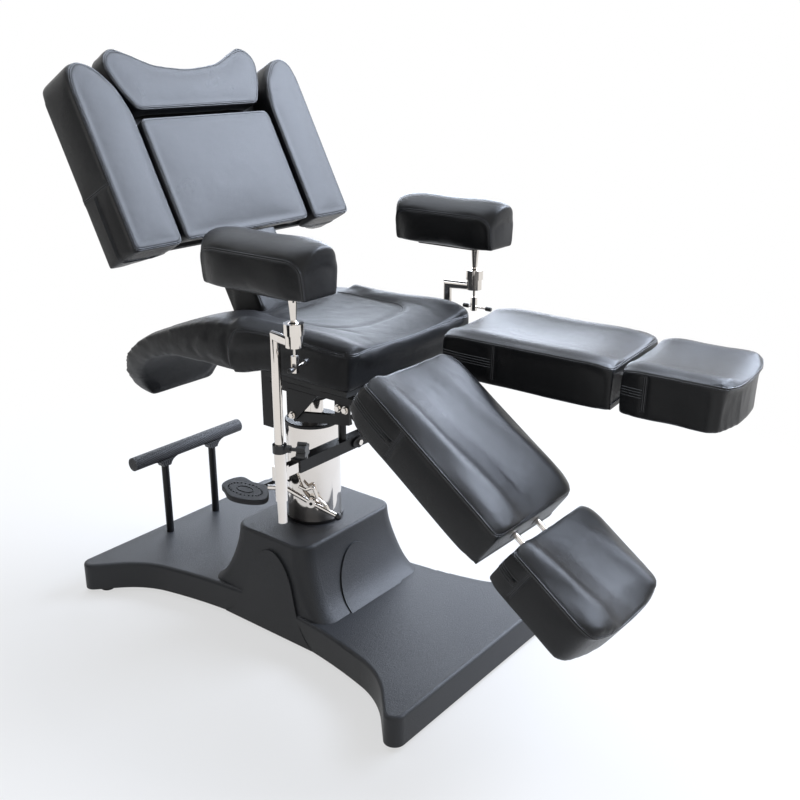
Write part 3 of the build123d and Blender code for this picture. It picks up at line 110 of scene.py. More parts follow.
class Finish:
    """A material that grows by one node at a time."""

    def __init__(self, name, **constants):
        self.material = bpy.data.materials.new(name)
        self.material.use_nodes = True
        self.tree = self.material.node_tree
        self.shader = self.tree.nodes["Principled BSDF"]
        self.place = self.node("ShaderNodeTexCoord", {}, {}, "Object")
        for socket, value in constants.items():
            self.shader.inputs[socket.replace("_", " ")].default_value = value

    def plug(self, socket, value):
        if isinstance(value, Field):
            self.tree.links.new(value.socket, socket)
        else:
            socket.default_value = value

    def node(self, kind, settings, inputs, output=0):
        made = self.tree.nodes.new(kind)
        for key, value in settings.items():
            setattr(made, key, value)
        for key, value in inputs.items():
            self.plug(made.inputs[key], value)
        return Field(self, made.outputs[output])

    def cloud(self, scale, detail=2.0):
        """Soft noise from 0 to 1, about 1 / scale metres from crest to crest."""
        inputs = {"Vector": self.place, "Scale": scale, "Detail": detail}
        return self.node("ShaderNodeTexNoise", {}, inputs, "Fac")

    def cells(self, scale):
        """Distance to the nearest edge of random cells: the pebbles of a leather grain."""
        inputs = {"Vector": self.place, "Scale": scale}
        return self.node("ShaderNodeTexVoronoi", {"feature": "DISTANCE_TO_EDGE"}, inputs, "Distance")

    def clamped(self, value, low, high):
        """The value brought from low..high to 0..1."""
        inputs = {"Value": value, "From Min": low, "From Max": high}
        return self.node("ShaderNodeMapRange", {}, inputs)

    def between(self, share, first, second):
        inputs = {0: share, 6: (*first, 1.0), 7: (*second, 1.0)}
        return self.node("ShaderNodeMix", {"data_type": "RGBA"}, inputs, 2)

    def colour(self, share, first, second):
        self.plug(self.shader.inputs["Base Color"], self.between(share, first, second))

    def roughness(self, value):
        self.plug(self.shader.inputs["Roughness"], value)

    def relief(self, height, depth):
        bump = self.node("ShaderNodeBump", {}, {"Distance": depth, "Height": height}, "Normal")
        self.plug(self.shader.inputs["Normal"], bump)


# %% [markdown]
# The leather is a coated black hide with a satin sheen. The grain is pebbles under two millimetres
# wide, over a slow unevenness where the hide lies on foam. Handling polishes it in soft patches, so
# the roughness wanders. The real colour is nearly black: what reads as grey in a picture is sheen.
# The folded edge beside a seam is stretched tight, so it is glossier than the panel, and its colour is
# painted lighter as a painted highlight.

# %% Leather and thread
grain_scale = 560.0
polish_scale = 9.0


def leather(name, slack, dullness, gloss):
    """A coated black leather; slack is how deep its soft unevenness goes, in metres."""
    hide = Finish(name, Specular_IOR_Level=gloss)
    pebbles = hide.clamped(hide.cells(grain_scale), 0.0, 0.22)
    fine = hide.cloud(1900.0, 3.0)
    polish = hide.cloud(polish_scale, 3.0)
    hide.colour(polish, (0.0055, 0.0056, 0.0062), (0.0090, 0.0092, 0.0102))
    hide.roughness(dullness + 0.10 * polish + 0.05 * (1 - pebbles))
    swell = hide.cloud(26.0, 3.0)
    hide.relief(pebbles * 0.00012 + fine * 0.00008 + swell * slack, 1.0)
    return hide.material


black_leather = leather("satin leather", 0.0007, 0.24, 0.27)
seat_leather = leather("seat leather", 0.0012, 0.34, 0.21)
print("leathers:", black_leather.name, "and", seat_leather.name)

thread = Finish("black thread", Roughness=0.55)
thread.colour(thread.cloud(900.0), (0.030, 0.031, 0.036), (0.060, 0.062, 0.070))

# The fold's colour is several times lighter than the leather's: a painted highlight along the seam edges
# and zip lines.
fold_painted_highlight = Finish("folded leather edge with painted highlight", Specular_IOR_Level=0.6, Roughness=0.26)
fold_painted_highlight.colour(fold_painted_highlight.cloud(200.0), (0.016, 0.017, 0.019), (0.034, 0.035, 0.040))

# %% [markdown]
# The base is a thick moulding with a fine even texture that scatters light, so it looks like graphite
# next to the leather. The steel frame has a thinner, smoother powder coat with a slight orange peel.

# %% Moulded base, powder coat, board, plastic and rubber
graphite = Finish("textured graphite", Specular_IOR_Level=0.42)
stipple = graphite.cloud(620.0, 4.0)
scuffs = graphite.cloud(7.0, 5.0)
graphite.colour(scuffs, (0.012, 0.013, 0.015), (0.019, 0.020, 0.023))
graphite.roughness(0.43 + 0.12 * scuffs)
graphite.relief(stipple * 0.0007 + graphite.cloud(190.0, 2.0) * 0.0003, 1.0)

powder = Finish("powder coat", Specular_IOR_Level=0.30)
powder.colour(powder.cloud(15.0, 3.0), (0.006, 0.006, 0.007), (0.010, 0.010, 0.011))
powder.roughness(0.34 + 0.10 * powder.cloud(24.0, 2.0))
powder.relief(powder.cloud(420.0, 2.0) * 0.0002, 1.0)

board = Finish("painted board", Roughness=0.62)
board.colour(board.cloud(30.0, 5.0), (0.010, 0.010, 0.010), (0.020, 0.020, 0.020))
board.relief(board.cloud(260.0, 3.0) * 0.0003, 1.0)

plastic = Finish("moulded plastic")
plastic.colour(plastic.cloud(40.0), (0.009, 0.009, 0.010), (0.015, 0.015, 0.016))
plastic.roughness(0.26 + 0.12 * plastic.cloud(60.0))
plastic.relief(plastic.cloud(800.0) * 0.0001, 1.0)

rubber = Finish("black rubber", Specular_IOR_Level=0.35)
rubber.colour(rubber.cloud(45.0, 3.0), (0.010, 0.010, 0.011), (0.020, 0.020, 0.022))
rubber.roughness(0.55 + 0.12 * rubber.cloud(90.0))
rubber.relief(rubber.cloud(1100.0) * 0.0002, 1.0)

# %% [markdown]
# Chrome is almost a mirror. What makes it read as metal and not glass is that it is never perfectly
# even: a faint haze in patches and fine polishing lines. Its warm tint is a painted reflection of
# what stands around it.

# %% Chrome
chrome = Finish("chrome plate", Metallic=1.0)
haze = chrome.cloud(14.0, 4.0)
# Both plate colours are tinted warm: a painted reflection of warm surroundings.
chrome.colour(haze, (0.66, 0.62, 0.58), (0.78, 0.74, 0.70))
chrome.roughness(0.045 + 0.06 * haze)
chrome.relief(chrome.cloud(35.0, 1.0) * 0.00035, 1.0)
print("chrome nodes:", len(chrome.tree.nodes))

# %% [markdown]
# The foot rail's grip is rubber pressed into small diamonds. Two sets of helical waves added together
# make them, so the pattern needs the angle round the rail, which an arc tangent gives from Y and Z.

# %% Knurled grip
grip_low, grip_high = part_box("footrest_grip")
rail_y = (grip_low.y + grip_high.y) / 2
grip_radius = 18 * mm
rail_z = grip_high.z - grip_radius
diamonds_round = 16.0
diamond_turn = 890.0

knurl = Finish("knurled rubber", Specular_IOR_Level=0.4)
split = knurl.tree.nodes.new("ShaderNodeSeparateXYZ")
knurl.tree.links.new(knurl.place.socket, split.inputs[0])
along, out_y, out_z = (Field(knurl, split.outputs[axis]) for axis in range(3))
angle = knurl.node("ShaderNodeMath", {"operation": "ARCTAN2"}, {0: out_y - rail_y, 1: out_z - rail_z})
turning = angle * diamonds_round
stepping = along * diamond_turn
rising = knurl.node("ShaderNodeMath", {"operation": "SINE"}, {0: turning + stepping})
falling = knurl.node("ShaderNodeMath", {"operation": "SINE"}, {0: turning - stepping})
lattice = knurl.clamped(rising + falling, -1.2, 0.6)
# The grooves between the diamonds are painted darker than their raised tops: painted shade in the grooves.
knurl.colour(lattice, (0.010, 0.010, 0.011), (0.026, 0.026, 0.029))
knurl.roughness(0.42 + 0.14 * knurl.cloud(40.0))
knurl.relief(lattice * 0.0011, 1.0)

# %% [markdown]
# Every metal, board and plastic part keeps its shape from the frame, so each only needs its finish in
# its material slot. The record already says which slot each part belongs to.

# %% Finishes for the parts that stay
finish_of = {
    "black_leather": black_leather,
    "black_frame": powder.material,
    "chrome": chrome.material,
    "black_board": board.material,
    "black_plastic": plastic.material,
    "black_rubber": rubber.material,
    "graphite_cover": graphite.material,
}
for part in frame["record"]["subparts"]:
    for slot in nodes[part["node"]].material_slots:
        slot.material = finish_of[part["material_slot"]]
for slot in nodes["footrest_grip"].material_slots:
    slot.material = knurl.material

# %% [markdown]
# Each pad is easiest to think about lying flat. A place is a matrix that takes a pad's own measures,
# across, along and up out of its face, to where it stands on the chair. The leg rests turn twice: they
# spread apart at the yoke and pitch down at the pin.

# %% Where the pads lie
back_slope = math.radians(62.3)
back_origin = Vector((0, 168.8, 936.8)) * mm
leg_pitches = {"right": math.radians(35.1), "left": math.radians(1.3)}
leg_spreads = {"right": math.radians(1.2), "left": math.radians(4.9)}
spread_pin = Vector((60, -300, 0)) * mm
leg_pin_y = -353.7 * mm
leg_pin_z = 677.4 * mm


def placed(across, along, up, origin):
    """The matrix whose columns are a pad's three directions and its origin."""
    matrix = Matrix((across, along, up)).transposed().to_4x4()
    matrix.translation = origin
    return matrix


upright = Vector((0, 0, 1))
back_place = placed(
    Vector((1, 0, 0)),
    Vector((0, math.cos(back_slope), math.sin(back_slope))),
    Vector((0, -math.sin(back_slope), math.cos(back_slope))),
    back_origin,
)
leg_place = {}
for name, side in sides.items():
    spread, pitch = side * leg_spreads[name], leg_pitches[name]
    across = Vector((math.cos(spread), math.sin(spread), 0))
    rearward = Vector((-math.sin(spread), math.cos(spread), 0))
    origin = Vector((side * spread_pin.x, spread_pin.y, leg_pin_z))
    origin += rearward * (leg_pin_y - spread_pin.y) - across * (side * spread_pin.x)
    along = -rearward * math.cos(pitch) - upright * math.sin(pitch)
    up = upright * math.cos(pitch) - rearward * math.sin(pitch)
    leg_place[name] = placed(across * side, along, up, origin)
flat = Matrix.Identity(4)
print("right leg rest starts at", [round(value, 3) for value in leg_place["right"].translation])

# %% [markdown]
# A seam runs along a path. A path is given by its few real corners, and one helper rounds them and
# spaces points evenly, because stitches, pins and grooves all need even points.

# %% Paths
bend_steps = 6
path_gap = 5 * mm


def spaced(path, gap):
    """The same line with points an even gap apart."""
    reach = [0.0]
    for before, after in zip(path, path[1:]):
        reach.append(reach[-1] + (after - before).length)
    count = max(2, round(reach[-1] / gap))
    points, piece = [], 0
    for step in range(count + 1):
        goal = reach[-1] * step / count
        while piece < len(path) - 2 and reach[piece + 1] < goal:
            piece += 1
        run = max(reach[piece + 1] - reach[piece], 1e-9)
        points.append(path[piece].lerp(path[piece + 1], min(1, (goal - reach[piece]) / run)))
    return points


def path_of(place, corners, radius, closed=True):
    """Corners in millimetres on a pad, rounded and set on the chair."""
    spots = [place @ (Vector(corner) * mm) for corner in corners]
    path = []
    for index, spot in enumerate(spots):
        if not closed and index in (0, len(spots) - 1):
            path.append(spot)
            continue
        before, after = spots[index - 1] - spot, spots[(index + 1) % len(spots)] - spot
        start = spot + before.normalized() * min(radius * mm, before.length / 2)
        end = spot + after.normalized() * min(radius * mm, after.length / 2)
        for step in range(bend_steps + 1):
            share = step / bend_steps
            path.append(start.lerp(spot, share).lerp(spot.lerp(end, share), share))
    if closed:
        path.append(path[0].copy())
    return spaced(path, path_gap)


# %% [markdown]
# Foam under leather is a closed skin that wants to be round but is held by its seams. The voxel
# remesh gives an even skin over the plain solid. The cloth step then fills it with air while the
# seam points stay pinned, and a cap keeps the swelling to what foam would do.

# %% Skins and air
air_pressure = 4.0
air_frames = 20
pin_reach = 7 * mm
weld_gap = 0.01 * mm
even_rounds = 5


def settle(piece):
    """Makes the modifiers of a piece part of its mesh."""
    graph = bpy.context.evaluated_depsgraph_get()
    piece.data = bpy.data.meshes.new_from_object(piece.evaluated_get(graph))
    piece.modifiers.clear()


def skin(name, sources, voxel, rounds, place=flat, whole=False):
    """An even quad skin over CAD solids, squared up with the pad's own place, its edges smoothed."""
    shell = bmesh.new()
    for source in sources:
        shell.from_mesh(nodes[source].data)
    bmesh.ops.remove_doubles(shell, verts=shell.verts, dist=weld_gap)
    if whole:
        hull = bmesh.ops.convex_hull(shell, input=shell.verts)
        bmesh.ops.delete(shell, geom=hull["geom_interior"], context="VERTS")
        old = [face for face in shell.faces if face not in set(hull["geom"])]
        bmesh.ops.delete(shell, geom=old, context="FACES")
    bmesh.ops.transform(shell, verts=shell.verts, matrix=place.inverted())
    mesh = bpy.data.meshes.new(name)
    shell.to_mesh(mesh)
    shell.free()
    pad = bpy.data.objects.new(name, mesh)
    scene.collection.objects.link(pad)
    squares = pad.modifiers.new("squares", "REMESH")
    squares.mode = "VOXEL"
    squares.voxel_size = voxel * mm
    softer = pad.modifiers.new("softer", "SMOOTH")
    softer.factor = 0.5
    softer.iterations = rounds
    settle(pad)
    pad.data.transform(place)
    return pad


def wrap_under(pad, place, start, depth):
    """Draws the lower edge of a pad down over its board, but not at the hinge end."""
    inside = place.inverted()
    for vertex in pad.data.vertices:
        own = inside @ vertex.co / mm
        low_part = min(1, max(0, (45 - own.z) / 30))
        clear = min(1, max(0, (own.y - start - 12) / 25))
        own.z -= depth * low_part * clear
        vertex.co = place @ (own * mm)


def round_lower(pad, place, end, low, radius):
    """Rounds the lower far corner of a pad, seen from the side."""
    inside = place.inverted()
    for vertex in pad.data.vertices:
        own = inside @ vertex.co / mm
        past, under = own.y - (end - radius), low + radius - own.z
        reach = math.hypot(past, under)
        if past > 0 and under > 0 and reach > radius:
            own.y = end - radius + past * radius / reach
            own.z = low + radius - under * radius / reach
            vertex.co = place @ (own * mm)


def keep_between(pad, place, start, end):
    """Holds the ends of a pad flat, so its neighbour can slide up close to it."""
    inside = place.inverted()
    for vertex in pad.data.vertices:
        own = inside @ vertex.co / mm
        own.y = min(max(own.y, start), end)
        vertex.co = place @ (own * mm)


def near(path_points):
    """A search tree over the points of some paths."""
    tree = KDTree(len(path_points))
    for index, point in enumerate(path_points):
        tree.insert(point, index)
    tree.balance()
    return tree


def fill_with_air(pad, seams, cap):
    """Swells the skin between its pinned seams, no point by more than the cap."""
    start = [vertex.co.copy() for vertex in pad.data.vertices]
    seam_tree = near(seams)
    pins = pad.vertex_groups.new(name="seam pins")
    pins.add([i for i, spot in enumerate(start) if seam_tree.find(spot)[2] < pin_reach], 1.0, "REPLACE")
    cloth = pad.modifiers.new("air", "CLOTH")
    cloth.settings.vertex_group_mass = "seam pins"
    cloth.settings.use_pressure = True
    cloth.settings.uniform_pressure_force = air_pressure
    cloth.settings.effector_weights.gravity = 0
    cloth.settings.quality = 4
    cloth.collision_settings.use_self_collision = False
    cloth.collision_settings.use_collision = False
    for number in range(1, air_frames + 1):
        scene.frame_set(number)
    graph = bpy.context.evaluated_depsgraph_get()
    swollen = pad.evaluated_get(graph).data
    moves = [after.co - before for after, before in zip(swollen.vertices, start)]
    for vertex, before, move in zip(pad.data.vertices, start, moves):
        vertex.co = before + move * min(1, cap * mm / max(move.length, 1e-9))
    pad.modifiers.clear()
    pad.vertex_groups.clear()
    scene.frame_set(1)
    even = pad.modifiers.new("even", "SMOOTH")
    even.factor = 0.5
    even.iterations = even_rounds
    settle(pad)


def sculpt(pad, change):
    """Moves each point along its normal by what change says, in millimetres."""
    pad.data.update()
    normals = [vertex.normal.copy() for vertex in pad.data.vertices]
    for vertex, normal in zip(pad.data.vertices, normals):
        vertex.co += normal * change(vertex.co, normal) * mm
    pad.data.update()


# %% [markdown]
# Sewing comes after the skin is final. A seam is where the panels are cut to meet, so the skin is
# pulled out to the seam's true line, which keeps the edge crisp, and pressed in right on it. On both
# sides lies a fine raised fold with a row of stitches, laid on by asking for the nearest skin point.

# %% Seams, stitches and zips
seam_dip = 1.3
seam_reach = 2.6
crisp_reach = 8.0
edge_offset = 1.8 * mm
edge_radius = 1.0 * mm
edge_lift = 0.25 * mm
stitch_offset = 4.6 * mm
stitch_gap = 5.2 * mm
stitch_lift = 0.1 * mm
bead_size = (1.45 * mm, 0.55 * mm, 0.5 * mm, 1)
target_gap = 2.5 * mm
zip_rows = (-1.5, -0.5, 0.5, 1.5)
zip_radius = 0.9 * mm
zip_lift = 0.2 * mm
tab_lift = 2 * mm
slider_size, tab_size = (9, 8, 3), (16, 5, 1.6)
tab_reach = 13
tab_round = 0.7 * mm


def solid(name, shape, finish, body):
    """A finished bmesh as a smooth piece on its body."""
    mesh = bpy.data.meshes.new(name)
    shape.to_mesh(mesh)
    shape.free()
    mesh.shade_smooth()
    mesh.materials.append(finish)
    piece = bpy.data.objects.new(name, mesh)
    scene.collection.objects.link(piece)
    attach(piece, body)
    return piece


def round_edges(shape, edges, size, steps):
    """Rounds some edges of a bmesh."""
    bmesh.ops.bevel(
        shape, geom=edges, offset=size, segments=steps, affect="EDGES", profile=0.5, material=-1
    )


def threads(name, paths, radius, body, finish):
    """Thin round cords along paths, as one curve that rides on a body."""
    curve = bpy.data.curves.new(name, "CURVE")
    curve.dimensions = "3D"
    curve.bevel_depth = radius
    curve.bevel_resolution = 1
    curve.use_fill_caps = True
    for path in paths:
        line = curve.splines.new("POLY")
        line.points.add(len(path) - 1)
        for point, spot in zip(line.points, path):
            point.co = (*spot, 1.0)
    piece = bpy.data.objects.new(name, curve)
    scene.collection.objects.link(piece)
    curve.materials.append(finish)
    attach(piece, body)
    return piece


def shifted(path, tree, offset, lift):
    """A path moved sideways on the skin: each point's place, its run and its normal."""
    moved = []
    for index, spot in enumerate(path):
        before, after = path[max(0, index - 1)], path[min(len(path) - 1, index + 1)]
        run = (after - before).normalized()
        normal = tree.find_nearest(spot)[1]
        aside = run.cross(normal).normalized()
        place, normal = tree.find_nearest(spot + aside * offset)[:2]
        moved.append((place + normal * lift, run, normal))
    return moved


def stitches(name, rows, body):
    """Small flattened beads along rows of places on the skin."""
    beads = bmesh.new()
    for row in rows:
        for place, run, normal in row:
            turn = placed(run, normal.cross(run).normalized(), normal, place)
            bead = turn @ Matrix.Diagonal(bead_size)
            bmesh.ops.create_icosphere(beads, subdivisions=1, radius=1, matrix=bead)
    mesh = bpy.data.meshes.new(name)
    beads.to_mesh(mesh)
    beads.free()
    piece = bpy.data.objects.new(name, mesh)
    scene.collection.objects.link(piece)
    mesh.materials.append(thread.material)
    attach(piece, body)


def skin_tree(pad):
    graph = bpy.context.evaluated_depsgraph_get()
    return BVHTree.FromObject(pad, graph)


def finish_pad(pad, replaced, body, seams, twin=True, finish=black_leather, crisp=6.0):
    """Subdivides and dips a filled skin along its seams, then sews it and puts it on its body."""
    finer = pad.modifiers.new("finer", "SUBSURF")
    finer.levels = finer.render_levels = 1
    settle(pad)
    tree = skin_tree(pad)
    targets = [point for path in seams for point in spaced(path, target_gap)]
    landings = [tree.find_nearest(point)[0] for point in targets]
    landing_tree = near(landings)
    for vertex in pad.data.vertices:
        index, gap = landing_tree.find(vertex.co)[1:]
        pull = targets[index] - landings[index]
        if gap < 3 * crisp_reach * mm and pull.length < 3 * crisp * mm:
            pull *= min(1, crisp * mm / max(pull.length, 1e-9))
            vertex.co += pull * math.exp(-((gap / mm / crisp_reach) ** 2))
    seam_tree = near(targets)

    def dip(spot, normal):
        gap = seam_tree.find(spot)[2] / mm
        return -seam_dip * math.exp(-((gap / seam_reach) ** 2)) if gap < 4 * seam_reach else 0

    sculpt(pad, dip)
    pad.data.shade_smooth()
    pad.data.materials.clear()
    pad.data.materials.append(finish)
    tree = skin_tree(pad)
    edges, rows = [], []
    for path in seams:
        for offset in (-1, 1):
            beside = shifted(path, tree, offset * edge_offset, edge_lift)
            edges.append([spot for spot, run, normal in beside])
            if twin:
                rows.append(shifted(spaced(path, stitch_gap), tree, offset * stitch_offset, stitch_lift))
    threads(pad.name + "_seam", edges, edge_radius, body, fold_painted_highlight.material)
    if rows:
        stitches(pad.name + "_stitches", rows, body)
    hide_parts(*replaced)
    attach(pad, body)
    print(pad.name, "faces", len(pad.data.polygons))
    return tree


def zip_lines(name, place, corners, radius, tree, body, step):
    """A zip in a gusset: the edges of its tapes and its teeth, as four fine ridges a step apart."""
    lines = []
    for row in zip_rows:
        lifted = [(x, y, z + row * step) for x, y, z in corners]
        path = path_of(place, lifted, radius, closed=False)
        lines.append([spot for spot, run, normal in shifted(path, tree, 0, zip_lift)])
    return threads(name, lines, zip_radius, body, fold_painted_highlight.material)


def pull_tab(name, spot, run, normal, body):
    """The slider and its small tab, lying on the gusset."""
    tab = bmesh.new()
    turn = placed(run, normal.cross(run).normalized(), normal, spot + normal * tab_lift)
    for offset, size in ((0, slider_size), (tab_reach, tab_size)):
        block = bmesh.ops.create_cube(tab, size=1, matrix=Matrix.Diagonal((*(Vector(size) * mm), 1)))
        bmesh.ops.translate(tab, verts=block["verts"], vec=(offset * mm, 0, 0))
    round_edges(tab, tab.edges[:], tab_round, 2)
    bmesh.ops.transform(tab, verts=tab.verts, matrix=turn)
    solid(name, tab, powder.material, body)


# %% [markdown]
# The backrest is four pads side by side: a plain centre pad, a headrest with a dipped top, and a tall
# bolster on each side. Their solids are flat boards of foam, so the air gives them their crown, and
# the headrest's ears are drawn up a little. The bolsters wrap round the board and close with a zip
# along their outer side, and their inner side is drawn out a little towards the centre pad.

# %% Backrest pads
ear_rise = 9
bolster_lean = 9
centre_seam = path_of(back_place, [(-194, 7, -5), (194, 7, -5), (194, 291, -5), (-194, 291, -5)], 14)
centre = skin("backrest_centre_pad", ["centre_pad"], 5.5, 4, back_place)
centre.data.transform(back_place @ Matrix.Diagonal((1.02, 1.01, 1, 1)) @ back_place.inverted())
fill_with_air(centre, centre_seam, 7)
finish_pad(centre, ["centre_pad"], "backrest", [centre_seam])

head_corners = [
    (-183, 320, -14), (183, 320, -14), (212, 371, -14), (228, 423, -14), (218, 448, -14), (194, 461, -14),
    (160, 451, -14), (95, 421, -14), (0, 411, -14), (-95, 421, -14), (-160, 451, -14), (-194, 461, -14),
    (-218, 448, -14), (-228, 423, -14), (-212, 371, -14),
]
head_seam = path_of(back_place, head_corners, 16)
head = skin("backrest_headrest_pad", ["headrest_pad"], 5.0, 4, back_place)
for vertex in head.data.vertices:
    own = back_place.inverted() @ vertex.co / mm
    own.y += ear_rise * min(1, max(0, (own.y - 400) / 50)) * min(1, max(0, (abs(own.x) - 110) / 80))
    vertex.co = back_place @ (own * mm)
fill_with_air(head, head_seam, 7)
finish_pad(head, ["headrest_pad"], "backrest", [head_seam])

for name, side in sides.items():
    corners = [
        (side * 215, 2, -2), (side * 340, 2, -2), (side * 340, 372, -2), (side * 332, 409, -2),
        (side * 306, 428, -2), (side * 270, 412, -2), (side * 233, 366, -2), (side * 215, 300, -2),
    ]
    bolster_seam = path_of(back_place, corners, 14)
    girth = [(side * 341, 156, -2), (side * 341, 156, -114)]
    gusset_seam = path_of(back_place, girth, 1, closed=False)
    bolster = skin(f"backrest_bolster_{name}", [f"bolster_{name}"], 5.5, 6, back_place, whole=True)
    for vertex in bolster.data.vertices:
        own = back_place.inverted() @ vertex.co / mm
        inner = min(1, max(0, (300 - abs(own.x)) / 75)) * min(1, max(0, (430 - own.y) / 100))
        own.x -= side * bolster_lean * inner
        vertex.co = back_place @ (own * mm)
    back_edge = path_of(back_place, [(x, y, -113) for x, y, z in corners], 14)
    fill_with_air(bolster, bolster_seam + back_edge + gusset_seam, 5)
    tree = finish_pad(bolster, [f"bolster_{name}"], "backrest", [bolster_seam, gusset_seam])
    route = [(side * 341, 150, -66), (side * 341, 1, -66), (side * 226, 1, -66)]
    zip_lines(f"bolster_zip_{name}", back_place, route, 18, tree, "backrest", 3.2)

# %% [markdown]
# The neck joins the backrest to its hinge. It is a board wrapped in leather, tight and nearly flat,
# with a piped edge down each side.

# %% Neck
neck = skin("backrest_neck_cover", ["backrest_neck"], 5.5, 3, back_place)
neck_edges = [
    path_of(back_place, [(side * 64, -8, -1), (side * 64, -180, -1)], 1, closed=False)
    for side in sides.values()
]
fill_with_air(neck, neck_edges[0] + neck_edges[1], 1.5)
finish_pad(neck, ["backrest_neck"], "backrest", neck_edges, twin=False)

# %% [markdown]
# Seat and tail are one upholstered piece. Its middle is a shallow pan of softer leather with fine
# creases, edged by a sewn line, and firm rolls run along both sides and the front. Behind the
# backrest it pours down and curls under, where the leather gathers in small folds.

# %% Seat and tail
seat_top_corners = [
    (-221, 26, 775), (-221, -60, 774), (-221, -200, 771), (-220, -290, 764), (-196, -303, 762),
    (0, -306, 762), (196, -303, 762), (220, -290, 764), (221, -200, 771), (221, -60, 774), (221, 26, 775),
]
side_turns = {
    name: [(side * 222, 6, 769), (side * 222, 28, 745), (side * 222, 37, 715), (side * 222, 37, 664)]
    for name, side in sides.items()
}
seat_corners = side_turns["right"][::-1] + seat_top_corners[1:-1] + side_turns["left"]
seat_seam = path_of(flat, seat_corners, 22, closed=False)
pan_corners = [
    (-96, 34, 768), (-112, -40, 768), (-114, -110, 768), (-96, -166, 768),
    (-52, -198, 768), (20, -206, 768), (105, -200, 768), (146, -168, 768),
    (158, -110, 768), (156, -40, 768), (140, 34, 768),
]
pan_seam = path_of(flat, pan_corners, 40, closed=False)
pan_tree = near(pan_seam)
pan_centre = Vector((22, -30, 768)) * mm
pan_drop = 3.5
roll_rise = 3.5
crease_depth = 0.9
fold_depth = 0.8
seat_piece = skin("seat_upholstery", ["seat_cushion", "seat_tail"], 6.5, 5)


def seat_shape(spot, normal):
    """Rolls stand up round the pan, and the tail's curl is gathered into folds."""
    change = 0.0
    if normal.z > 0.5 and spot.y < 40 * mm:
        on_line, index, gap = pan_tree.find(spot)
        inside = (spot.xy - pan_centre.xy).length < (on_line.xy - pan_centre.xy).length
        near_line = math.exp(-((gap / (15 * mm)) ** 2))
        fade = min(1, max(0, (30 * mm - spot.y) / (70 * mm)))
        change += fade * (-pan_drop if inside else roll_rise * near_line)
        if inside:
            change += crease_depth * fade * noise.noise(spot * 120) + 0.5 * fade * noise.noise(spot * 300)
    if spot.y > 330 * mm and normal.y > -0.2:
        wave = math.sin(spot.x / mm / 13 + 2.2 * noise.noise(spot * 14))
        gather = min(1, (spot.y / mm - 330) / 150)
        change += fold_depth * gather * wave + fold_depth * noise.noise(spot * 30)
    return change


sculpt(seat_piece, seat_shape)
fill_with_air(seat_piece, seat_seam + pan_seam, 4)
seat_solids = ["seat_cushion", "seat_tail"]
finish_pad(seat_piece, seat_solids, "seat", [seat_seam], finish=seat_leather, crisp=2.0)
seat_tree = skin_tree(seat_piece)
pan_line = [spot for spot, run, normal in shifted(pan_seam, seat_tree, 0, 0.0)]
threads("seat_pan_line", [pan_line], 0.8 * mm, "seat", seat_leather)

# %% [markdown]
# Each leg rest is two pads on one centre line, the calf pad and the sliding foot pad. The outer roll
# leans inwards towards the foot, the inner one leans the other way, and the leg lies in the trough
# between. The covers close with zips round the end that faces the sitter.

# %% Leg and foot pads
leg_middle = 150.8
leg_half = 136.0
foot_half = 130.0
leg_start, leg_end = 3.0, 390.5
foot_starts = {"right": 420.0, "left": 403.0}
foot_reach = 222.0
outer_rise = 6.5
inner_rise = 5.0
trough_depth = 5.0
pad_top = 93
zip_level = 50
board_wrap = 15
leg_girth, foot_girth = 131, 53


def rolls(place, half, start, end):
    """The sculpting of one pad: a leaning crest on each side, and the trough between them."""
    flat_from = place.inverted()

    def change(spot, normal):
        own = flat_from @ spot / mm
        rise = (place.to_3x3().inverted() @ normal).z
        if rise < 0.35 or own.z < 60:
            return 0.0
        share = min(1, max(0, (own.y - start) / (end - start)))
        u = (own.x - leg_middle) / half
        ends = math.sin(math.pi * min(1, max(0, 0.10 + 0.80 * share))) ** 0.6
        eased = share * share * (3 - 2 * share)
        outer_crest = math.exp(-(((u - 0.74 + 0.24 * eased) / 0.15) ** 2))
        inner_crest = math.exp(-(((u + 0.36 + 0.42 * share) / 0.17) ** 2))
        middle = 0.5 * (0.74 - 0.24 * eased - 0.36 - 0.42 * share)
        trough = math.exp(-(((u - middle) / 0.26) ** 2))
        ripple = 0.4 * noise.noise(spot * 30)
        crests = outer_rise * outer_crest + inner_rise * inner_crest
        return ends * (crests - trough_depth * trough + ripple)

    return change


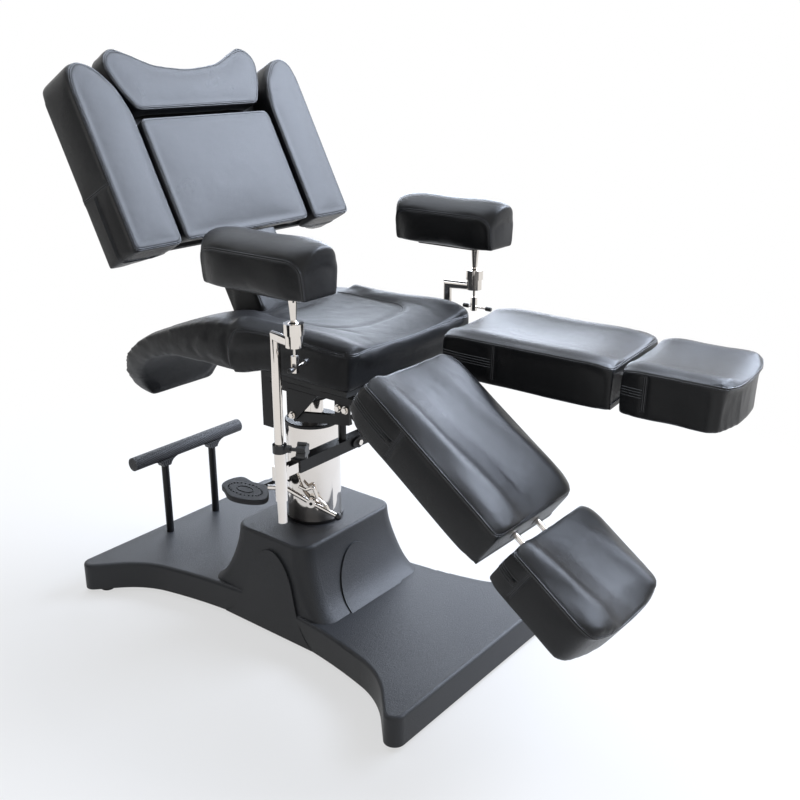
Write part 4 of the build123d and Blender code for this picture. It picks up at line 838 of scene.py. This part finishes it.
for name, side in sides.items():
    place = leg_place[name]
    low, high, top = leg_middle - leg_half, leg_middle + leg_half, pad_top
    corners = [
        (low + 6, leg_start + 3, top - 7), (low, leg_start + 34, top), (low, leg_end - 34, top),
        (low + 6, leg_end - 3, top - 7), (high - 6, leg_end - 3, top - 7), (high, leg_end - 34, top),
        (high, leg_start + 34, top), (high - 6, leg_start + 3, top - 7),
    ]
    leg_seam = path_of(place, corners, 16)
    side_seams = [
        path_of(place, [(edge, leg_girth, top - 3), (edge, leg_girth, 16)], 1, closed=False)
        for edge in (low, high)
    ]
    calf = skin(f"leg_rest_pad_{name}", [f"leg_pad_{name}"], 5.5, 10, place)
    wrap_under(calf, place, leg_start, board_wrap)
    lower = [(x, y, -1 if y > 100 else 13) for x, y, z in corners]
    lower_edge = path_of(place, lower, 8)
    fill_with_air(calf, leg_seam + side_seams[0] + side_seams[1] + lower_edge, 2.5)
    sculpt(calf, rolls(place, leg_half, leg_start, leg_end))
    round_lower(calf, place, leg_end + 3, -3, 18)
    keep_between(calf, place, leg_start - 10, leg_end - 0.5)
    tree = finish_pad(calf, [f"leg_pad_{name}"], f"leg_{name}", [leg_seam, *side_seams])
    route = [
        (high + 2, 126, zip_level), (high + 2, 1, zip_level),
        (low - 2, 1, zip_level), (low - 2, 126, zip_level),
    ]
    zip_lines(f"leg_zip_{name}", place, route, 20, tree, f"leg_{name}", 5.5)
    for edge, out in ((low, -1), (high, 1)):
        spot = place @ (Vector((edge + 2.5 * out, 118, zip_level)) * mm)
        found, normal = tree.find_nearest(spot)[:2]
        label = f"leg_zip_pull_{name}_{'out' if out > 0 else 'in'}"
        pull_tab(label, found, -place.col[1].xyz, normal, f"leg_{name}")

    start = foot_starts[name]
    end = start + foot_reach
    low, high = leg_middle - foot_half, leg_middle + foot_half
    corners = [
        (low + 6, start + 3, top - 7), (low, start + 30, top), (low, end - 46, top),
        (low + 12, end - 16, top - 4), (low + 60, end - 3, top - 7), (leg_middle, end - 1, top - 7),
        (high - 60, end - 3, top - 7), (high - 12, end - 16, top - 4), (high, end - 46, top),
        (high, start + 30, top), (high - 6, start + 3, top - 7),
    ]
    foot_seam = path_of(place, corners, 18)
    girth = start + foot_girth
    side_seams = [
        path_of(place, [(edge, girth, top - 3), (edge, girth, 16)], 1, closed=False) for edge in (low, high)
    ]
    foot = skin(f"foot_rest_pad_{name}", [f"foot_pad_{name}"], 5.0, 10, place)
    wrap_under(foot, place, start - 60, board_wrap)
    lower_edge = path_of(place, [(x, y, -1) for x, y, z in corners], 12)
    fill_with_air(foot, foot_seam + side_seams[0] + side_seams[1] + lower_edge, 2.5)
    sculpt(foot, rolls(place, foot_half, start, end))
    round_lower(foot, place, end + 3, -3, 20)
    keep_between(foot, place, start + 2.5, end + 10)
    tree = finish_pad(foot, [f"foot_pad_{name}"], f"foot_{name}", [foot_seam, *side_seams])
    route = [
        (high + 2, start + 48, zip_level), (high + 2, start, zip_level),
        (low - 2, start, zip_level), (low - 2, start + 48, zip_level),
    ]
    zip_lines(f"foot_zip_{name}", place, route, 16, tree, f"foot_{name}", 5.5)
    for edge, out in ((low, -1), (high, 1)):
        spot = place @ (Vector((edge + 2.5 * out, start + 40, zip_level)) * mm)
        found, normal = tree.find_nearest(spot)[:2]
        label = f"foot_zip_pull_{name}_{'out' if out > 0 else 'in'}"
        pull_tab(label, found, -place.col[1].xyz, normal, f"foot_{name}")

# %% [markdown]
# The armrest pads are one strip of leather from end to end over the top, closed by a flat panel on
# each side. So the seam goes up one corner, along the top edge and down the other corner.

# %% Armrest pads
arm_x = 308.3
arm_front, arm_back = -326.3, -48.7
arm_half = 56.0
arm_level, arm_top = 945.0, 1011.0
seam_level, shoulder_level, seam_foot = 978, 962, 906


def square_up(rest):
    """Fills out the rounded shoulders at both ends towards a boxier outline."""
    middle, half = (arm_front + arm_back) / 2, (arm_back - arm_front) / 2
    for vertex in rest.data.vertices:
        along = (vertex.co.y / mm - middle) / half
        rise = (vertex.co.z / mm - arm_level) / (arm_top - arm_level)
        if rise > 0.02:
            round_size = (abs(along) ** 3 + rise ** 3) ** (1 / 3)
            boxy_size = (abs(along) ** 4.5 + rise ** 4.5) ** (1 / 4.5)
            vertex.co.y = (middle + along * half * round_size / boxy_size) * mm


for name, side in sides.items():
    seams = []
    for out in (-1, 1):
        x, x_end = side * arm_x + out * arm_half, side * arm_x + out * (arm_half - 11)
        corners = [
            (x_end, arm_front + 3, seam_foot), (x_end + out * 6, arm_front + 4, shoulder_level),
            (x, arm_front + 24, seam_level), (x, arm_back - 24, seam_level),
            (x_end + out * 6, arm_back - 4, shoulder_level), (x_end, arm_back - 3, seam_foot),
        ]
        seams.append(path_of(flat, corners, 16, closed=False))
    rest = skin(f"armrest_cushion_{name}", [f"armrest_pad_{name}"], 4.5, 4)
    square_up(rest)
    fill_with_air(rest, seams[0] + seams[1], 2.5)
    finish_pad(rest, [f"armrest_pad_{name}"], f"armrest_{name}", seams, crisp=3.0)

# %% [markdown]
# Small pieces finish the metalwork. The clamp's sliding bar has black end sleeves, a set screw shows
# in each tapered neck, and the pedal's rubber has a ring of studs round an oval rib.

# %% Small pieces
cup_x, cup_y, tommy_z = 308.3, -252.2, 754.0
tommy_turns = {"right": math.radians(17), "left": math.radians(90)}
tommy_slides = {"right": 14.0, "left": -10.0}
tommy_half = 39.0
sleeve_length = 15.0
sleeve_radius = 5.2
for name, side in sides.items():
    centre_spot = Vector((side * cup_x, cup_y, tommy_z))
    run = Vector((math.cos(tommy_turns[name]), math.sin(tommy_turns[name]), 0))
    for end in (-1, 1):
        spot = centre_spot + run * (tommy_slides[name] + end * (tommy_half - sleeve_length / 2 + 0.6))
        sleeve = bmesh.new()
        bmesh.ops.create_cone(
            sleeve, cap_ends=True, segments=24, radius1=sleeve_radius * mm, radius2=sleeve_radius * mm,
            depth=sleeve_length * mm,
        )
        rims = [edge for edge in sleeve.edges if abs(edge.verts[0].co.z - edge.verts[1].co.z) < mm]
        round_edges(sleeve, rims, 1.4 * mm, 3)
        turn = Vector((0, 0, 1)).rotation_difference(run).to_matrix().to_4x4()
        bmesh.ops.transform(sleeve, verts=sleeve.verts, matrix=Matrix.Translation(spot * mm) @ turn)
        label = f"clamp_bar_sleeve_{name}_{'far' if end > 0 else 'near'}"
        solid(label, sleeve, plastic.material, f"arm_clamp_{name}")
    screw = bmesh.new()
    turn = Matrix.Translation(Vector((side * cup_x - 5.2, cup_y - 6.4, 888)) * mm)
    bmesh.ops.create_icosphere(screw, subdivisions=3, radius=2.0 * mm, matrix=turn)
    solid(f"neck_set_screw_{name}", screw, rubber.material, f"arm_ball_{name}")

pedal_centre = Vector((-137, 100, 333))
stud_count = 26
studs = bmesh.new()
for index in range(stud_count):
    turn = 2 * math.pi * index / stud_count
    spot = pedal_centre + Vector((27 * math.cos(turn), 51 * math.sin(turn), 0))
    stud = Matrix.Translation(spot * mm) @ Matrix.Diagonal((2.6 * mm, 2.6 * mm, 1.6 * mm, 1))
    bmesh.ops.create_icosphere(studs, subdivisions=2, radius=1, matrix=stud)
solid("pedal_studs", studs, rubber.material, "pedal")
oval = []
for index in range(49):
    turn = 2 * math.pi * index / 48
    oval.append((pedal_centre + Vector((13 * math.cos(turn), 25 * math.sin(turn), 0))) * mm)
threads("pedal_oval_rib", [oval], 1.3 * mm, "pedal", rubber.material)
print("pedal studs:", stud_count)

# %% [markdown]
# The studio is a pale floor and soft light. Camera rays and reflections see a white surrounding, so
# the chrome has something bright to show, while the light that falls on the leather stays moderate.
# The floor takes a shadow near the chair and fades to plain white further out, so no horizon shows.

# %% Floor and surroundings
floor_half = 14
shadow_to, white_from = 0.7, 1.9
near_glow = 0.62
floor_mesh = bmesh.new()
bmesh.ops.create_grid(floor_mesh, x_segments=1, y_segments=1, size=floor_half)
floor_data = bpy.data.meshes.new("floor")
floor_mesh.to_mesh(floor_data)
floor_mesh.free()
floor = bpy.data.objects.new("floor", floor_data)
scene.collection.objects.link(floor)
floor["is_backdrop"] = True

paper = Finish("floor paper", Base_Color=(0.50, 0.50, 0.50, 1), Roughness=0.9, Specular_IOR_Level=0.0)
away = paper.node("ShaderNodeVectorMath", {"operation": "LENGTH"}, {0: paper.place}, "Value")
fade_inputs = {"Value": away, "From Min": shadow_to, "From Max": white_from}
fade = paper.node("ShaderNodeMapRange", {}, fade_inputs)
rays = paper.tree.nodes.new("ShaderNodeLightPath")
seen = Field(paper, rays.outputs["Is Camera Ray"]) + Field(paper, rays.outputs["Is Glossy Ray"])
seen = seen + Field(paper, rays.outputs["Is Transmission Ray"])
glow = paper.node("ShaderNodeEmission", {}, {"Color": (1, 1, 1, 1), "Strength": 1.0})
blend_shader = paper.tree.nodes.new("ShaderNodeMixShader")
paper.plug(blend_shader.inputs[0], seen * (near_glow + (1 - near_glow) * fade))
paper.tree.links.new(paper.shader.outputs[0], blend_shader.inputs[1])
paper.tree.links.new(glow.socket, blend_shader.inputs[2])
paper.tree.links.new(blend_shader.outputs[0], paper.tree.nodes["Material Output"].inputs["Surface"])
floor_data.materials.append(paper.material)

# A dark flag on the left: shiny things need something dark to show too
flag_mesh = bmesh.new()
bmesh.ops.create_grid(flag_mesh, x_segments=1, y_segments=1, size=0.5)
flag_size = Matrix.Diagonal((5.0, 2.0, 1, 1))
flag_turn = Matrix.Rotation(math.pi / 2, 4, "Z") @ Matrix.Rotation(math.pi / 2, 4, "X")
flag_stand = Matrix.Translation((-2.7, 2.3, 1.0)) @ flag_turn
bmesh.ops.transform(flag_mesh, verts=flag_mesh.verts, matrix=flag_stand @ flag_size)
flag_data = bpy.data.meshes.new("dark_flag")
flag_mesh.to_mesh(flag_data)
flag_mesh.free()
flag = bpy.data.objects.new("dark_flag", flag_data)
scene.collection.objects.link(flag)
flag.visible_camera = flag.visible_diffuse = flag.visible_shadow = False
dark_cloth = Finish("dark cloth", Base_Color=(0.01, 0.01, 0.01, 1), Roughness=1.0, Specular_IOR_Level=0.0)
flag_data.materials.append(dark_cloth.material)
flag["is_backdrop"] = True

world = bpy.data.worlds.new("studio")
scene.world = world
world.use_nodes = True
sky = world.node_tree
sky_rays = sky.nodes.new("ShaderNodeLightPath")
shown = sky.nodes.new("ShaderNodeMath")
shown.operation = "MAXIMUM"
sky.links.new(sky_rays.outputs["Is Camera Ray"], shown.inputs[0])
sky.links.new(sky_rays.outputs["Is Glossy Ray"], shown.inputs[1])
strength = sky.nodes.new("ShaderNodeMapRange")
strength.inputs["To Min"].default_value = 0.30
strength.inputs["To Max"].default_value = 1.0
sky.links.new(shown.outputs[0], strength.inputs["Value"])
background = sky.nodes["Background"]
background.inputs["Color"].default_value = (1, 1, 1, 1)
sky.links.new(strength.outputs["Result"], background.inputs["Strength"])


def softbox(name, spot, aim, width, height, power, colour):
    """A soft rectangular lamp at one place, aimed at another."""
    lamp = bpy.data.lights.new(name, "AREA")
    lamp.shape = "RECTANGLE"
    lamp.size, lamp.size_y, lamp.energy, lamp.color = width, height, power, colour
    stand = bpy.data.objects.new(name, lamp)
    scene.collection.objects.link(stand)
    stand.location = spot
    stand.rotation_euler = (Vector(aim) - Vector(spot)).to_track_quat("-Z", "Y").to_euler()


softbox("right_high", (2.5, -1.7, 3.3), (0, -0.1, 0.8), 3.8, 2.8, 600, (0.74, 0.83, 1.0))
softbox("right_rear", (3.4, 2.4, 1.75), (0, -0.6, 0.8), 3.0, 1.3, 88, (0.76, 0.85, 1.0))
softbox("overhead", (0.3, 1.0, 3.6), (0, 0, 0.7), 3.0, 3.0, 90, (0.80, 0.88, 1.0))
print("lamps:", [lamp.name for lamp in bpy.data.lights])

# %% [markdown]
# The camera stands where the picture was taken: its height, turn and tilt come from lining up the
# chair's straight edges, and it has the picture's focal length.

# %% Camera
camera_data = bpy.data.cameras.new("picture view")
camera_data.sensor_width = 36.0
camera_data.lens = 45.0
camera_data.shift_x = 0.0008
camera_data.shift_y = -0.0033
camera = bpy.data.objects.new("picture view", camera_data)
scene.collection.objects.link(camera)
picture_right = Vector((0.6196, -0.7849, 0.0))
picture_up = Vector((0.2612, 0.2062, 0.9430))
forward = Vector((0.7401, 0.5843, -0.3328))
camera.matrix_world = placed(picture_right, picture_up, -forward, Vector((-1.6405, -1.5627, 1.3487)))
scene.camera = camera
scene.view_settings.view_transform = "Standard"

# %% Sizes, and the end of the script
low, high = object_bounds()
print("visual box", [round(high[axis] - low[axis], 3) for axis in range(3)])
